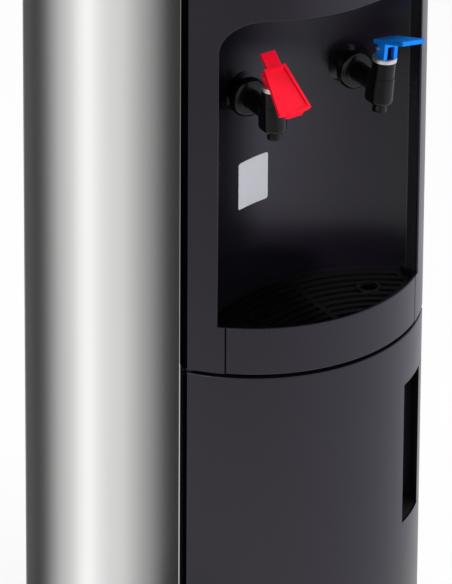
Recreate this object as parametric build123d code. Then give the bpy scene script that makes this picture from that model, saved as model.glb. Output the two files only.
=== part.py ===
from build123d import *
from math import cos, radians, sin, sqrt, tan
import os

# A bottom load water cooler. Millimetres, +Z up, the front towards -Y.
# The origin is the middle of the footprint, on the floor.

# ---- Case ----
FRONT_WIDTH = 310.0  # across the bow front, at its ends
BOW_RISE = 78.1  # how far the bow stands out of its chord
SIDE_RETURN = 13.6  # black side wall between the bow and the steel
SIDE_DEPTH = 357.3  # steel side, front edge to rear edge
SIDE_CROWN = 6.0  # how far the steel side bulges
REAR_CORNER_R = 14.0  # the steel's rear corners
STEEL_EDGE_R = 1.0  # the steel's front edges
CONDENSER_REACH = 22.0  # condenser, behind the steel's rear edge
SHEET = 1.2  # steel sheet
WALL = 3.0  # moulded walls of the front
SEAM = 0.3  # between seated pieces
EDGE_R = 2.0  # small rounding of moulded edges
BOW_EDGE_R = 3.0  # rounding where the bow meets its side wall
OPENING_EDGE_R = 1.5  # rounding round the alcove and along the door and the tray

# ---- Heights, from the floor up ----
FLOOR_GAP = 14.0
KICK_HEIGHT = 22.0
DOOR_GAP = 4.5
DOOR_HEIGHT = 517.25
FASCIA_HEIGHT = 57.45
ALCOVE_HEIGHT = 375.7
BROW_HEIGHT = 32.6
COVER_HEIGHT = 32.0

# ---- Alcove ----
ALCOVE_JAMB = 25.6  # bow front beside the alcove
ALCOVE_CORNER_R = 42.0
ALCOVE_WALL_R = 201.0  # the round rear wall
ALCOVE_DEPTH = 120.5  # bow front to the rear wall, at the middle
TRAY_JAMB = 5.7  # how much narrower the tray is, each side
TRAY_FLOOR_LIFT = 3.0  # tray bin above the fascia's lower edge
GRILLE_DROP = 6.0  # grille's top below the fascia's rim
GRILLE_THICKNESS = 3.0
TRAY_WALL = 2.5
SLOT_PITCH = 13.0
SLOT_WIDTH = 6.5
SLOT_COUNT = 9
GRILLE_MARGIN = 9.0  # solid border round the slots
MIDDLE_RIB = 7.0
FINGER_HOLE_INSET = 52.6  # from the tray's side
FINGER_HOLE_FRONT = 18.9  # before the chord
FINGER_HOLE_R = 10.0
FINGER_BOSS_R = 14.0
FINGER_BOSS_RISE = 1.2

# ---- Front frame and bottle bay ----
FRAME_THICKNESS = 4.0
FRAME_LIP = 14.0
FRAME_EASE = 7.5  # frame's upper opening beside the alcove's wall
BAY_JAMB = 15.0  # frame beside the bay's opening
BAY_SILL = 12.0  # opening's lower edge above the base's top
BAY_HEADER = 12.0  # opening's upper edge below the fascia's lower edge
BAY_REAR_GAP = 16.8  # bay's back before the steel's rear edge
BAY_CORNER_R = 25.0
BAY_SIDE_GAP = 5.0  # bay's outer wall inside the bow front's half width
BAY_WALL = 2.0
BOTTLE_EASE = 3.0  # bottle's dish inside the bay's opening
BOTTLE_DISH = 3.0
SHELF_THICKNESS = 2.0

# ---- Door ----
DOOR_STANDOFF = 1.5
HINGE_INSET = 8.5  # hinge axis from the door's side and from its back
HINGE_PIN_R = 3.0
HINGE_PIN_REACH = 11.5  # pin inside the door
HINGE_BOSS_HEIGHT = 17.5
HINGE_COLLAR_R = 6.0
HINGE_FIT = 0.05
INNER_PANEL = 2.5
INNER_PANEL_INSET = 10.0
GASKET_WIDTH = 4.0
GASKET_THICKNESS = 1.2
GRIP_STRIP = 13.8  # from the pocket to the door's side
HANDLE_WIDTH = 39.7
HANDLE_LENGTH = 177.0
HANDLE_DROP = 62.75  # pocket's top below the door's top
HANDLE_UNDERCUT = 6.0  # finger space behind the grip strip
GRIP_GROOVE = 0.8  # width and depth of the lines at the grip strip's ends
CUP_WALL = 2.0
CATCH_HEIGHT = 40.0
CATCH_WIDTH = 7.0

# ---- Feet ----
FOOT_INSET = 37.0  # from the case's sides
FOOT_FRONT = 12.0  # front feet before the chord
FOOT_REAR = 36.0  # rear feet before the steel's rear edge
FOOT_PAD_R = 16.0
FOOT_PAD_HEIGHT = 8.0
FOOT_BEVEL = 1.0
FOOT_STEM_R = 4.0
FOOT_BOSS_R = 10.0

# ---- Taps, about the crossing of barrel and arm ----
TAP_INSET = 60.2  # from the alcove's sides
TAP_REACH = 42.3  # barrel axis before the chord
TAP_HEIGHT = 252.0  # arm axis above the fascia's rim
HOT_LEAN = -2.0
COLD_LEAN = 5.5
BARREL_R = 13.3
BARREL_TOP = 32.8
BARREL_STEP = 13.6
BARREL_BOTTOM = -18.0
BODY_R = 13.9
BODY_BACK = 7.0
NOZZLE_R = 8.3
NOZZLE_NECK_R = 7.4
NOZZLE_BOTTOM = -27.0
NOZZLE_RIM = 3.0
OUTLET_R = 4.5
CHAMBER_R = 9.0
CHAMBER_FLOOR = -8.0
BONNET = 4.8
ARM_R = 11.0
SHANK_R = 8.0
SHANK_END = 97.0
INLET_R = 5.0
FLANGE_FRONT = 60.5  # flange's front face behind the barrel axis
FLANGE_R = 22.7
FLANGE_SHOULDER_R = 20.5
FLANGE_FACE_R = 17.5
FLANGE_BEVEL = 1.5
SEAT_DEPTH = 36.3  # tap seat behind the chord
SEAT_WALL = 4.0
COLLAR_R = 13.9
COLLAR_BORE_R = 8.0
COLLAR_HEIGHT = 4.7
NUT_R = 15.0
NUT_THICKNESS = 7.0
TAP_FIT = 0.3
STEM_R = 3.5
SEAL_R = 7.5
SEAL_HEIGHT = 5.5
PIN_RISE = 10.7  # lever pin above the collar
PIN_R = 1.8
PIN_LENGTH = 24.4
RUNNING_FIT = 0.05
EYE_R = 4.3
CHEEK = 4.5
HUB_WIDTH = 17.5
HUB_FRONT = 11.0
HUB_BACK = 4.0

# ---- Levers, measured from the pin along and square to the plate ----
COLD_SLOPE = -18.5  # front end up
COLD_PLATE_START = -1.3
COLD_PLATE_END = 59.5
COLD_PLATE_LOW = 6.5
COLD_PLATE_THICKNESS = 4.8
COLD_PLATE_WIDTH = 30.0
HOT_SLOPE = 41.5  # front end down
HOT_PLATE_END = 53.3
HOT_PLATE_LOW = 4.6
HOT_PLATE_THICKNESS = 3.6
HOT_PLATE_WIDTH = 22.0
HOT_NECK_END = 8.0
PADDLE_START = -5.9
PADDLE_END = 50.0
PADDLE_BULGE = 2.5
PADDLE_THICKNESS = 4.8
PADDLE_TOP_WIDTH = 27.2
PADDLE_END_WIDTH = 40.2
PADDLE_RIM = 3.0
PADDLE_RECESS = 2.2
TAB_LENGTH = 18.5
TAB_WIDTH = 18.3
TAB_THICKNESS = 3.4
EAR = 2.9
EAR_R = 5.5

# ---- Top cover ----
COVER_SLOPE_RUN = 62.0
COVER_SLOPE_FALL = 20.0
COVER_EDGE_R = 5.0
LENS_R = 4.0
LENS_PITCH = 24.0
LENS_RUN = 30.0  # lenses behind the bow front
LENS_THICKNESS = 3.4
LENS_PROUD = 0.6

# ---- Rear ----
REAR_PANEL_INSET = 37.0  # from the case's sides
REAR_LAP = 12.0  # the steel's flanges behind the rear panel's sides
VENT_COUNT = 9
VENT_PITCH = 11.0
VENT_INSET = 25.6  # slots from the panel's sides
VENT_GAP = 16.8  # between the two columns of slots
VENT_HEIGHT = 4.0
VENT_DROP = 232.25  # lowest slot below the front's lower edge
TUBE_R = 2.4
TUBE_PASSES = 6
TUBE_PITCH = 56.0
TUBE_BEND_R = 16.0
TUBE_DROP = 2.25  # lowest pass below the front's lower edge
TUBE_ENTRY_R = 7.0
WIRE_R = 0.9
WIRE_COUNT = 15
WIRE_PITCH = 12.0
BRACKET_INSET = 28.0  # from the tube's bends
BRACKET_THICKNESS = 3.0
SWITCH_INSET = 62.0  # middle of the pair, from the panel's side
SWITCH_PITCH = 32.0
SWITCH_DROP = 40.0  # switch centres below the cover
SWITCH_PLATE_MARGIN = 6.0
SWITCH_PLATE = 2.4
WINDOW_WIDTH = 20.0
WINDOW_HEIGHT = 26.0
ROCKER_GAP = 0.5
ROCKER_BELLY_R = 4.0
ROCKER_RISE = 3.2
ROCKER_TILT = 7.0
GLAND_INSET = 33.0
GLAND_RISE = 34.0  # above the base
GLAND_R = 9.0
GLAND_FLANGE_R = 12.5
GLAND_FLANGE = 2.0
GLAND_NOSE_R = 7.0
GLAND_REACH = 6.0
GLAND_BORE_R = 3.75
DRAIN_INSET = 33.0
DRAIN_RISE = 59.0  # above the base
DRAIN_R = 7.0
DRAIN_BORE_R = 4.5
DRAIN_REACH = 9.0
DRAIN_CAP_WALL = 2.5

# ---- Inside ----
TANK_SHELF_RISE = 200.0  # above the middle shelf
COLD_TANK_R = 86.0
COLD_TANK_HEIGHT = 200.0
HOT_TANK_R = 52.0
HOT_TANK_HEIGHT = 165.0
COMPRESSOR_R = 56.0
COMPRESSOR_HEIGHT = 130.0
COMPRESSOR_FOOT = 8.0
CONTROL_BOX_WIDTH = 62.0
CONTROL_BOX_DEPTH = 76.0
CONTROL_BOX_HEIGHT = 110.0
PUMP_R = 18.0
PUMP_HEIGHT = 72.0
PUMP_FOOT_R = 22.0
PUMP_FOOT_HEIGHT = 11.0
PUMP_OUTLET_R = 7.0
PUMP_OUTLET = 13.0
INSIDE_INSET = 79.0  # tank and compressor from the case's sides
INSIDE_Y = 105.0  # and from its rear edge
PIPE_R = 6.0
PIPE_BORE_R = 4.0
PIPE_DROP_Y = 22.0  # where the hot pipe turns down, behind the tap's shank
PIPE_BEND_R = 14.0
PROBE_R = 6.0
PROBE_CAP_R = 13.0
PROBE_INSET = 39.0  # from the case's side
PROBE_WALL_GAP = 15.0
PROBE_BOTTOM = 22.0
PROBE_CAP_DROP = 34.0
PROBE_CAP_HEIGHT = 14.0
CLIP_WIDTH = 20.0
CLIP_HEIGHT = 12.0

# ---- Worked out from the sizes above ----
LEVER_TILT = radians(COLD_SLOPE)
LEVER_TIP = COLD_PLATE_END * cos(LEVER_TILT) + COLD_PLATE_LOW * sin(LEVER_TILT)
LEVER_PROUD = TAP_REACH + LEVER_TIP - BOW_RISE  # the cold lever's tip before the bow
DEPTH = LEVER_PROUD + BOW_RISE + SIDE_RETURN + SIDE_DEPTH + CONDENSER_REACH
HALF = FRONT_WIDTH / 2
ALCOVE_WIDTH = FRONT_WIDTH - 2 * ALCOVE_JAMB
TRAY_WIDTH = ALCOVE_WIDTH - 2 * TRAY_JAMB
FINGER_HOLE_X = TRAY_WIDTH / 2 - FINGER_HOLE_INSET
TAP_X = ALCOVE_WIDTH / 2 - TAP_INSET
BAY_OPENING = FRONT_WIDTH - 2 * BAY_JAMB
BOTTLE_R = BAY_OPENING / 2 - BOTTLE_EASE
INNER_PANEL_HALF = HALF - INNER_PANEL_INSET
HANDLE_RIGHT = HALF - GRIP_STRIP
HANDLE_LEFT = HANDLE_RIGHT - HANDLE_WIDTH
FOOT_X = HALF - FOOT_INSET
INSIDE_X = HALF - INSIDE_INSET
PROBE_X = PROBE_INSET - HALF
REAR_PANEL_HALF = HALF - REAR_PANEL_INSET
VENT_WIDTH = REAR_PANEL_HALF - VENT_INSET - VENT_GAP / 2
VENT_X = (VENT_WIDTH + VENT_GAP) / 2
TUBE_HALF = REAR_PANEL_HALF
BRACKET_X = TUBE_HALF - BRACKET_INSET
SWITCH_X = REAR_PANEL_HALF - SWITCH_INSET
GLAND_X = GLAND_INSET - REAR_PANEL_HALF
DRAIN_X = REAR_PANEL_HALF - DRAIN_INSET
FRONT_Y = LEVER_PROUD - DEPTH / 2
CHORD_Y = FRONT_Y + BOW_RISE
STEEL_FRONT_Y = CHORD_Y + SIDE_RETURN
STEEL_REAR_Y = STEEL_FRONT_Y + SIDE_DEPTH
BOW_R = (HALF**2 + BOW_RISE**2) / (2 * BOW_RISE)
BOW_CENTRE_Y = FRONT_Y + BOW_R
BASE_TOP = FLOOR_GAP + KICK_HEIGHT
DOOR_BOTTOM = BASE_TOP + DOOR_GAP
DOOR_TOP = DOOR_BOTTOM + DOOR_HEIGHT
UPPER_BOTTOM = DOOR_TOP + DOOR_GAP
VENT_BOTTOM = UPPER_BOTTOM - VENT_DROP
TUBE_BOTTOM = UPPER_BOTTOM - TUBE_DROP
GLAND_Z = BASE_TOP + GLAND_RISE
DRAIN_Z = BASE_TOP + DRAIN_RISE
RIM_Z = UPPER_BOTTOM + FASCIA_HEIGHT
ALCOVE_TOP = RIM_Z + ALCOVE_HEIGHT
COVER_Z = ALCOVE_TOP + BROW_HEIGHT
HEIGHT = COVER_Z + COVER_HEIGHT
WALL_CENTRE_Y = FRONT_Y + ALCOVE_DEPTH - ALCOVE_WALL_R
TRAY_BAY_HALF = TRAY_WIDTH / 2 + SEAM
TRAY_BOTTOM = UPPER_BOTTOM + TRAY_FLOOR_LIFT + 2 * SEAM
GRILLE_TOP = RIM_Z - GRILLE_DROP
GRILLE_LOW = GRILLE_TOP - GRILLE_THICKNESS
FRAME_BACK_Y = STEEL_FRONT_Y + FRAME_THICKNESS
DOOR_BACK_Y = STEEL_FRONT_Y - DOOR_STANDOFF
HINGE_X = HINGE_INSET - HALF
HINGE_Y = DOOR_BACK_Y - HINGE_INSET
BAY_LOW = BASE_TOP + BAY_SILL
BAY_HIGH = UPPER_BOTTOM - BAY_HEADER
BAY_BACK_Y = STEEL_REAR_Y - BAY_REAR_GAP
SHELF_Z = UPPER_BOTTOM - SHELF_THICKNESS - 2 * SEAM - WALL
BAY_TOP = SHELF_Z - SEAM
FINGER_HOLE_Y = CHORD_Y - FINGER_HOLE_FRONT
TAP_Y = CHORD_Y - TAP_REACH
TAP_Z = RIM_Z + TAP_HEIGHT
SEAT_Y = CHORD_Y + SEAT_DEPTH
COLLAR_TOP = BARREL_TOP + SEAM + COLLAR_HEIGHT
PIN_Z = COLLAR_TOP + PIN_RISE
REAR_FACE_Y = STEEL_REAR_Y + SEAM + SHEET
WIRE_Y = DEPTH / 2 - WIRE_R
TUBE_Y = WIRE_Y - WIRE_R - TUBE_R - 2 * RUNNING_FIT
HANDLE_TOP = DOOR_TOP - HANDLE_DROP
HANDLE_BOTTOM = HANDLE_TOP - HANDLE_LENGTH
FAR = 2 * DEPTH


def block(x, y, z):
    """A block between two limits in each direction."""
    size = [high - low for low, high in (x, y, z)]
    middle = [(low + high) / 2 for low, high in (x, y, z)]
    return Pos(*middle) * Box(*size)


def upright(plan, low, high):
    """A plan outline carried from one height to another."""
    return Pos(0, 0, low) * extrude(plan, high - low, dir=(0, 0, 1))


def bar(radius, start, end):
    """A round bar between two points."""
    axis = Vector(*end) - Vector(*start)
    return extrude(Plane(origin=start, z_dir=axis) * Circle(radius), axis.length)


def turned(points):
    """A profile of (radius, height) points turned about Z."""
    return revolve(Plane.XZ * make_face(Polyline(*points, close=True)), Axis.Z)


def across(points, low, high):
    """A side profile of (y, z) points carried across in X."""
    profile = Plane.YZ * make_face(Polyline(*points, close=True))
    return Pos(low, 0, 0) * extrude(profile, high - low, dir=(1, 0, 0))


def bow_plan(inset, back_y):
    """Plan of the bow front with its side walls, drawn in by an inset."""
    half = HALF - inset
    disc = Pos(0, BOW_CENTRE_Y) * Circle(BOW_R - inset)
    strip = Pos(0, (FRONT_Y + back_y) / 2) * Rectangle(2 * half, back_y - FRONT_Y)
    plan = disc & strip
    if inset < BOW_EDGE_R:
        corners = [v for v in plan.vertices() if v.Y < back_y - EDGE_R]
        plan = fillet(corners, BOW_EDGE_R - inset)
    return plan


def case_plan(inset):
    """Plan of the steel case: crowned sides and round rear corners."""
    half = HALF - inset
    front = STEEL_FRONT_Y + inset
    rear = STEEL_REAR_Y - inset
    middle = (front + rear) / 2
    edges = [
        Line((-half, front), (half, front)),
        ThreePointArc((half, front), (half + SIDE_CROWN, middle), (half, rear)),
        Line((half, rear), (-half, rear)),
        ThreePointArc((-half, rear), (-half - SIDE_CROWN, middle), (-half, front)),
    ]
    plan = make_face(edges)
    return fillet(plan.vertices().group_by(Axis.Y)[-1], REAR_CORNER_R - inset)


def front_edges(body):
    """The level edges of a body that lie on the bow front."""
    arcs = body.edges().filter_by(GeomType.CIRCLE)
    return [edge for edge in arcs if abs(edge.radius - BOW_R) < SEAM]


def alcove_outline(grow):
    """The alcove's front outline, with the narrower tray bay below it."""
    height = ALCOVE_HEIGHT + 2 * grow
    upper = Pos(0, RIM_Z + ALCOVE_HEIGHT / 2) * Rectangle(ALCOVE_WIDTH + 2 * grow, height)
    upper = fillet(upper.vertices().group_by(Axis.Y)[-1], ALCOVE_CORNER_R + grow)
    low = UPPER_BOTTOM + SEAM + TRAY_FLOOR_LIFT - grow
    high = RIM_Z + WALL
    lower = Pos(0, (low + high) / 2) * Rectangle(2 * (TRAY_BAY_HALF + grow), high - low)
    return upper + lower


def alcove_space(grow):
    """The alcove's hollow, or that hollow with a wall's thickness round it."""
    front = Pos(0, -FAR / 2, 0) * extrude(Plane.XZ * alcove_outline(grow), FAR, dir=(0, 1, 0))
    middle_z = (UPPER_BOTTOM + ALCOVE_TOP) / 2
    rear = Pos(0, WALL_CENTRE_Y, middle_z) * Cylinder(ALCOVE_WALL_R + grow, 2 * ALCOVE_HEIGHT)
    return front & rear


def foot_places():
    """Where the four feet stand."""
    front = CHORD_Y - FOOT_FRONT
    rear = STEEL_REAR_Y - FOOT_REAR
    return {
        "front_left": (-FOOT_X, front),
        "front_right": (FOOT_X, front),
        "rear_left": (-FOOT_X, rear),
        "rear_right": (FOOT_X, rear),
    }


def base():
    """Moulded base: bow front kick, floor, rim and four foot bosses."""
    outer = upright(bow_plan(0, STEEL_FRONT_Y - SEAM), FLOOR_GAP, BASE_TOP)
    outer += upright(case_plan(SHEET + SEAM), FLOOR_GAP, BASE_TOP)
    joint_y = (STEEL_FRONT_Y - WALL, STEEL_FRONT_Y + WALL)
    joint_half = HALF - SHEET - SEAM
    outer += block((-joint_half, joint_half), joint_y, (FLOOR_GAP, BASE_TOP))
    hollow = upright(bow_plan(WALL + SHEET + SEAM, STEEL_FRONT_Y + 2 * WALL), FLOOR_GAP + WALL, BASE_TOP)
    hollow += upright(case_plan(SHEET + SEAM + WALL), FLOOR_GAP + WALL, BASE_TOP)
    wall_y = (HINGE_Y - 2 * HINGE_INSET, FRAME_BACK_Y)
    hinge_wall = block((-HALF, HINGE_X + HINGE_INSET), wall_y, (FLOOR_GAP, BASE_TOP))
    body = outer - (hollow - hinge_wall)
    for x, y in foot_places().values():
        body += bar(FOOT_BOSS_R, (x, y, FLOOR_GAP), (x, y, BASE_TOP - WALL))
        body -= bar(FOOT_STEM_R + RUNNING_FIT, (x, y, 0), (x, y, BASE_TOP))
    return body - hinge_bore(BASE_TOP - HINGE_PIN_REACH, BASE_TOP + 1)


def hinge_bore(low, high):
    """The hinge pins' bore between two heights."""
    return bar(HINGE_PIN_R + HINGE_FIT, (HINGE_X, HINGE_Y, low), (HINGE_X, HINGE_Y, high))


def foot(x, y):
    """Levelling foot: a pad on a threaded stem."""
    top = BASE_TOP - WALL
    points = [
        (0, 0),
        (FOOT_PAD_R - FOOT_BEVEL, 0),
        (FOOT_PAD_R, FOOT_BEVEL),
        (FOOT_PAD_R, FOOT_PAD_HEIGHT / 2),
        (FOOT_BOSS_R, FOOT_PAD_HEIGHT),
        (FOOT_STEM_R, FOOT_PAD_HEIGHT),
        (FOOT_STEM_R, top),
        (0, top),
    ]
    return Pos(x, y, 0) * turned(points)


def side_panel(side):
    """Crowned stainless side, wrapped round the rear corner into a flange."""
    outer = case_plan(0)
    outer = fillet(outer.vertices().group_by(Axis.Y)[0], STEEL_EDGE_R)
    skin = outer - case_plan(SHEET)
    skin -= Pos(0, STEEL_FRONT_Y) * Rectangle(2 * (HALF - SHEET), 4 * SHEET)
    flange_x = REAR_PANEL_HALF - REAR_LAP
    keep = Pos(side * FAR / 2 + side * flange_x, 0) * Rectangle(FAR, 2 * FAR)
    return upright(skin & keep, FLOOR_GAP + SHEET, COVER_Z)


def rear_panel():
    """Flat rear sheet with vent slots and the holes for what passes through it."""
    sheet = (STEEL_REAR_Y + SEAM, REAR_FACE_Y)
    panel = block((-REAR_PANEL_HALF, REAR_PANEL_HALF), sheet, (FLOOR_GAP + SHEET, COVER_Z))
    corners = panel.edges().filter_by(Axis.Y)
    panel = fillet(corners, EDGE_R)
    for row in range(VENT_COUNT):
        z = VENT_BOTTOM + row * VENT_PITCH
        slot = SlotOverall(VENT_WIDTH, VENT_HEIGHT)
        for side in (-1, 1):
            place = Plane.XZ * Pos(side * VENT_X, z) * slot
            panel -= Pos(0, STEEL_REAR_Y, 0) * extrude(place, SIDE_RETURN, dir=(0, 1, 0))
    for x in switch_centres():
        panel -= block(*switch_window(x, STEEL_REAR_Y, REAR_FACE_Y + 1))
    holes = [
        (GLAND_X, GLAND_Z, GLAND_R + SEAM),
        (DRAIN_X, DRAIN_Z, DRAIN_R + SEAM),
        (-TUBE_HALF + TUBE_BEND_R, TUBE_BOTTOM, TUBE_R + SEAM),
        (-TUBE_HALF + TUBE_BEND_R, TUBE_BOTTOM + (TUBE_PASSES - 1) * TUBE_PITCH, TUBE_R + SEAM),
    ]
    for x, z, radius in holes:
        panel -= bar(radius, (x, STEEL_REAR_Y, z), (x, REAR_FACE_Y + 1, z))
    return panel


def front_frame():
    """Face frame behind the door and the bezel, lipped along both sides."""
    half = HALF - SHEET - SEAM
    face = (STEEL_FRONT_Y, FRAME_BACK_Y)
    low = BASE_TOP + SEAM
    frame = block((-half, half), face, (low, COVER_Z))
    for side in (-1, 1):
        lip = sorted((side * half, side * (half - WALL)))
        frame += block(lip, (STEEL_FRONT_Y, STEEL_FRONT_Y + FRAME_LIP), (low, COVER_Z))
    bay = BAY_OPENING / 2
    frame -= block((-bay, bay), (-FAR, FAR), (BAY_LOW, BAY_HIGH))
    alcove = sqrt((ALCOVE_WALL_R + WALL) ** 2 - (STEEL_FRONT_Y - WALL_CENTRE_Y) ** 2) + FRAME_EASE
    frame -= block((-alcove, alcove), (-FAR, FAR), (UPPER_BOTTOM, ALCOVE_TOP + 2 * WALL))
    return frame - block(*catch_box(SEAM))


def front_bezel():
    """Bow front above the door, cut out for the alcove and the tray."""
    back = STEEL_FRONT_Y - SEAM
    outer = upright(bow_plan(0, back), UPPER_BOTTOM, COVER_Z)
    inner_plan = bow_plan(WALL, back + 1)
    hollow = upright(inner_plan, UPPER_BOTTOM + WALL, COVER_Z - WALL)
    hollow += upright(inner_plan & Rectangle(ALCOVE_WIDTH, FAR), UPPER_BOTTOM - 1, COVER_Z - WALL)
    opening = alcove_outline(0) + Pos(0, UPPER_BOTTOM) * Rectangle(2 * TRAY_BAY_HALF, 4 * WALL)
    cut = Pos(0, -FAR, 0) * extrude(Plane.XZ * opening, FAR + back - WALL, dir=(0, 1, 0))
    bezel = outer - hollow - cut
    front = bezel.faces().filter_by(GeomType.CYLINDER).sort_by(SortBy.AREA)[-1]
    rim = [edge for edge in front.edges() if RIM_Z + WALL < edge.center().Z < COVER_Z - 1]
    rim = [edge for edge in rim if abs(edge.center().X) < ALCOVE_WIDTH / 2 + 1]
    bezel = fillet(rim, OPENING_EDGE_R)
    return bezel - hinge_bore(UPPER_BOTTOM - 1, UPPER_BOTTOM + 2 * WALL)


def alcove_liner():
    """Alcove walls: round rear wall, roof, tray ledge and floor, with two tap seats."""
    space = alcove_space(0)
    inside = upright(bow_plan(WALL + SEAM, FAR / 4), UPPER_BOTTOM, COVER_Z)
    liner = (alcove_space(WALL) - space) & inside
    for side in (-1, 1):
        x = side * TAP_X
        pad_r = FLANGE_R + TAP_FIT + WALL
        pad = bar(pad_r, (x, SEAT_Y - pad_r, TAP_Z), (x, SEAT_Y + SEAT_WALL, TAP_Z))
        liner += pad - space
        liner -= bar(FLANGE_R + TAP_FIT, (x, SEAT_Y - 2 * pad_r, TAP_Z), (x, SEAT_Y, TAP_Z))
        liner -= bar(SHANK_R + TAP_FIT, (x, SEAT_Y - 1, TAP_Z), (x, SEAT_Y + 2 * SEAT_WALL, TAP_Z))
    return liner


def tray_plan(inset, front_inset):
    """Plan of the drip tray: straight sides, bow front, round back."""
    rear = Pos(0, WALL_CENTRE_Y) * Circle(ALCOVE_WALL_R - SEAM - inset)
    front = Pos(0, BOW_CENTRE_Y) * Circle(BOW_R - front_inset)
    sides = Pos(0, CHORD_Y) * Rectangle(TRAY_WIDTH - 2 * inset, FAR / 2)
    return rear & front & sides


def drip_tray():
    """Drip tray with its bow fascia."""
    bin_top = GRILLE_LOW - SEAM
    fascia = tray_plan(0, 0) - Pos(0, BOW_CENTRE_Y) * Circle(BOW_R - WALL)
    fascia = upright(fascia, UPPER_BOTTOM, RIM_Z)
    fascia = fillet(front_edges(fascia), OPENING_EDGE_R)
    tray = upright(tray_plan(0, WALL), TRAY_BOTTOM, bin_top) + fascia
    return tray - upright(tray_plan(TRAY_WALL, 2 * WALL), TRAY_BOTTOM + TRAY_WALL, RIM_Z)


def slot_area():
    """The part of the grille that its slots may reach."""
    area = tray_plan(GRILLE_MARGIN, WALL + GRILLE_MARGIN)
    area -= Pos(0, CHORD_Y) * Rectangle(MIDDLE_RIB, FAR)
    for side in (-1, 1):
        area -= Pos(side * FINGER_HOLE_X, FINGER_HOLE_Y) * Circle(FINGER_BOSS_R)
    return area


def drip_grille():
    """Grille with slots on arcs round the rear wall's centre and two finger holes."""
    plate = upright(tray_plan(SEAM, WALL + SEAM), GRILLE_LOW, GRILLE_TOP)
    first = ALCOVE_WALL_R - SEAM - GRILLE_MARGIN - SLOT_WIDTH / 2
    slots = Sketch()
    for number in range(SLOT_COUNT):
        radius = first - number * SLOT_PITCH
        ring = Circle(radius + SLOT_WIDTH / 2) - Circle(radius - SLOT_WIDTH / 2)
        slots += Pos(0, WALL_CENTRE_Y) * ring
    plate -= upright(slots & slot_area(), GRILLE_LOW - 1, GRILLE_TOP + 1)
    for side in (-1, 1):
        hole = Pos(side * FINGER_HOLE_X, FINGER_HOLE_Y)
        plate += upright(hole * Circle(FINGER_BOSS_R), GRILLE_TOP, GRILLE_TOP + FINGER_BOSS_RISE)
        plate -= upright(hole * Circle(FINGER_HOLE_R), GRILLE_LOW - 1, RIM_Z)
    return plate


def top_cover():
    """Top cover: bow front with a sloped panel, rounded top edge, hollow below."""
    low = COVER_Z + SEAM
    outer_plan = bow_plan(0, STEEL_FRONT_Y + 1) + case_plan(0)
    inner_plan = bow_plan(WALL, STEEL_FRONT_Y + 2 * WALL) + case_plan(WALL)
    slope = slope_plane()
    over = Pos(0, 0, COVER_HEIGHT) * Box(FAR, FAR, 2 * COVER_HEIGHT)
    outer = upright(outer_plan, low, HEIGHT)
    outer = fillet(outer.faces().sort_by(Axis.Z)[-1].edges(), COVER_EDGE_R)
    outer -= slope * over
    hollow = upright(inner_plan, low - 1, HEIGHT - WALL) - slope.offset(-WALL) * over
    cover = outer - hollow
    for x in lens_places():
        cover -= slope * Pos(x, LENS_RUN, 0) * Cylinder(LENS_R + SEAM / 2, 4 * WALL)
    return cover


def slope_plane():
    """The sloped panel's plane, from the bow front up to the top."""
    origin = (0, FRONT_Y, HEIGHT - COVER_SLOPE_FALL)
    normal = (0, -COVER_SLOPE_FALL, COVER_SLOPE_RUN)
    return Plane(origin=origin, x_dir=(1, 0, 0), z_dir=normal)


def lens_places():
    """Three lenses side by side about the middle."""
    return [-LENS_PITCH, 0, LENS_PITCH]


def indicator_lenses():
    """Three small round lenses set into the sloped panel."""
    lens = Pos(0, 0, LENS_PROUD - LENS_THICKNESS / 2) * Cylinder(LENS_R, LENS_THICKNESS)
    lens = fillet(lens.edges().sort_by(Axis.Z)[-1], LENS_PROUD)
    return [slope_plane() * Pos(x, LENS_RUN, 0) * lens for x in lens_places()]


def middle_shelf():
    """Steel shelf between the bottle bay and what stands above it."""
    plate = upright(case_plan(SHEET + SEAM), SHELF_Z, SHELF_Z + SHELF_THICKNESS)
    return plate & block((-FAR, FAR), (FRAME_BACK_Y + FRAME_LIP, FAR), (0, HEIGHT))


def tank_shelf():
    """Steel shelf that carries the cold tank, notched for the hot pipe."""
    z = SHELF_Z + TANK_SHELF_RISE
    plate = upright(case_plan(SHEET + SEAM), z, z + SHELF_THICKNESS)
    plate &= block((-FAR, FAR), (pipe_start_y() - PIPE_R, FAR), (0, HEIGHT))
    pipe_y = pipe_start_y() + PIPE_DROP_Y
    return plate - bar(PIPE_R + 2 * SEAM, (-TAP_X, pipe_y, z - 1), (-TAP_X, pipe_y, z + 2 * SHELF_THICKNESS))


def bay_liner():
    """Bottle bay: a box open to the front."""
    half = HALF - BAY_SIDE_GAP
    front = FRAME_BACK_Y + SEAM
    low = BASE_TOP + SEAM
    outer = Pos(0, (front + BAY_BACK_Y) / 2) * Rectangle(2 * half, BAY_BACK_Y - front)
    outer = fillet(outer.vertices().group_by(Axis.Y)[-1], BAY_CORNER_R)
    inner = offset(outer, -BAY_WALL) + Pos(0, front) * Rectangle(2 * (half - BAY_WALL), 4 * BAY_CORNER_R)
    return upright(outer, low, BAY_TOP) - upright(inner, low + BAY_WALL, BAY_TOP - BAY_WALL)


def bottle_platform():
    """Moulded platform with a shallow round dish for the bottle."""
    half = BAY_OPENING / 2
    low = BASE_TOP + BAY_WALL + 2 * SEAM
    front = FRAME_BACK_Y + 2 * SEAM
    back = front + 2 * BOTTLE_R + BAY_WALL
    plate = block((-half, half), (front, back), (low, BAY_LOW))
    plate = fillet(plate.edges().filter_by(Axis.Z), BAY_WALL)
    middle = (front + back) / 2
    return plate - bar(BOTTLE_R, (0, middle, BAY_LOW - BOTTLE_DISH), (0, middle, BAY_LOW + 1))


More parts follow.
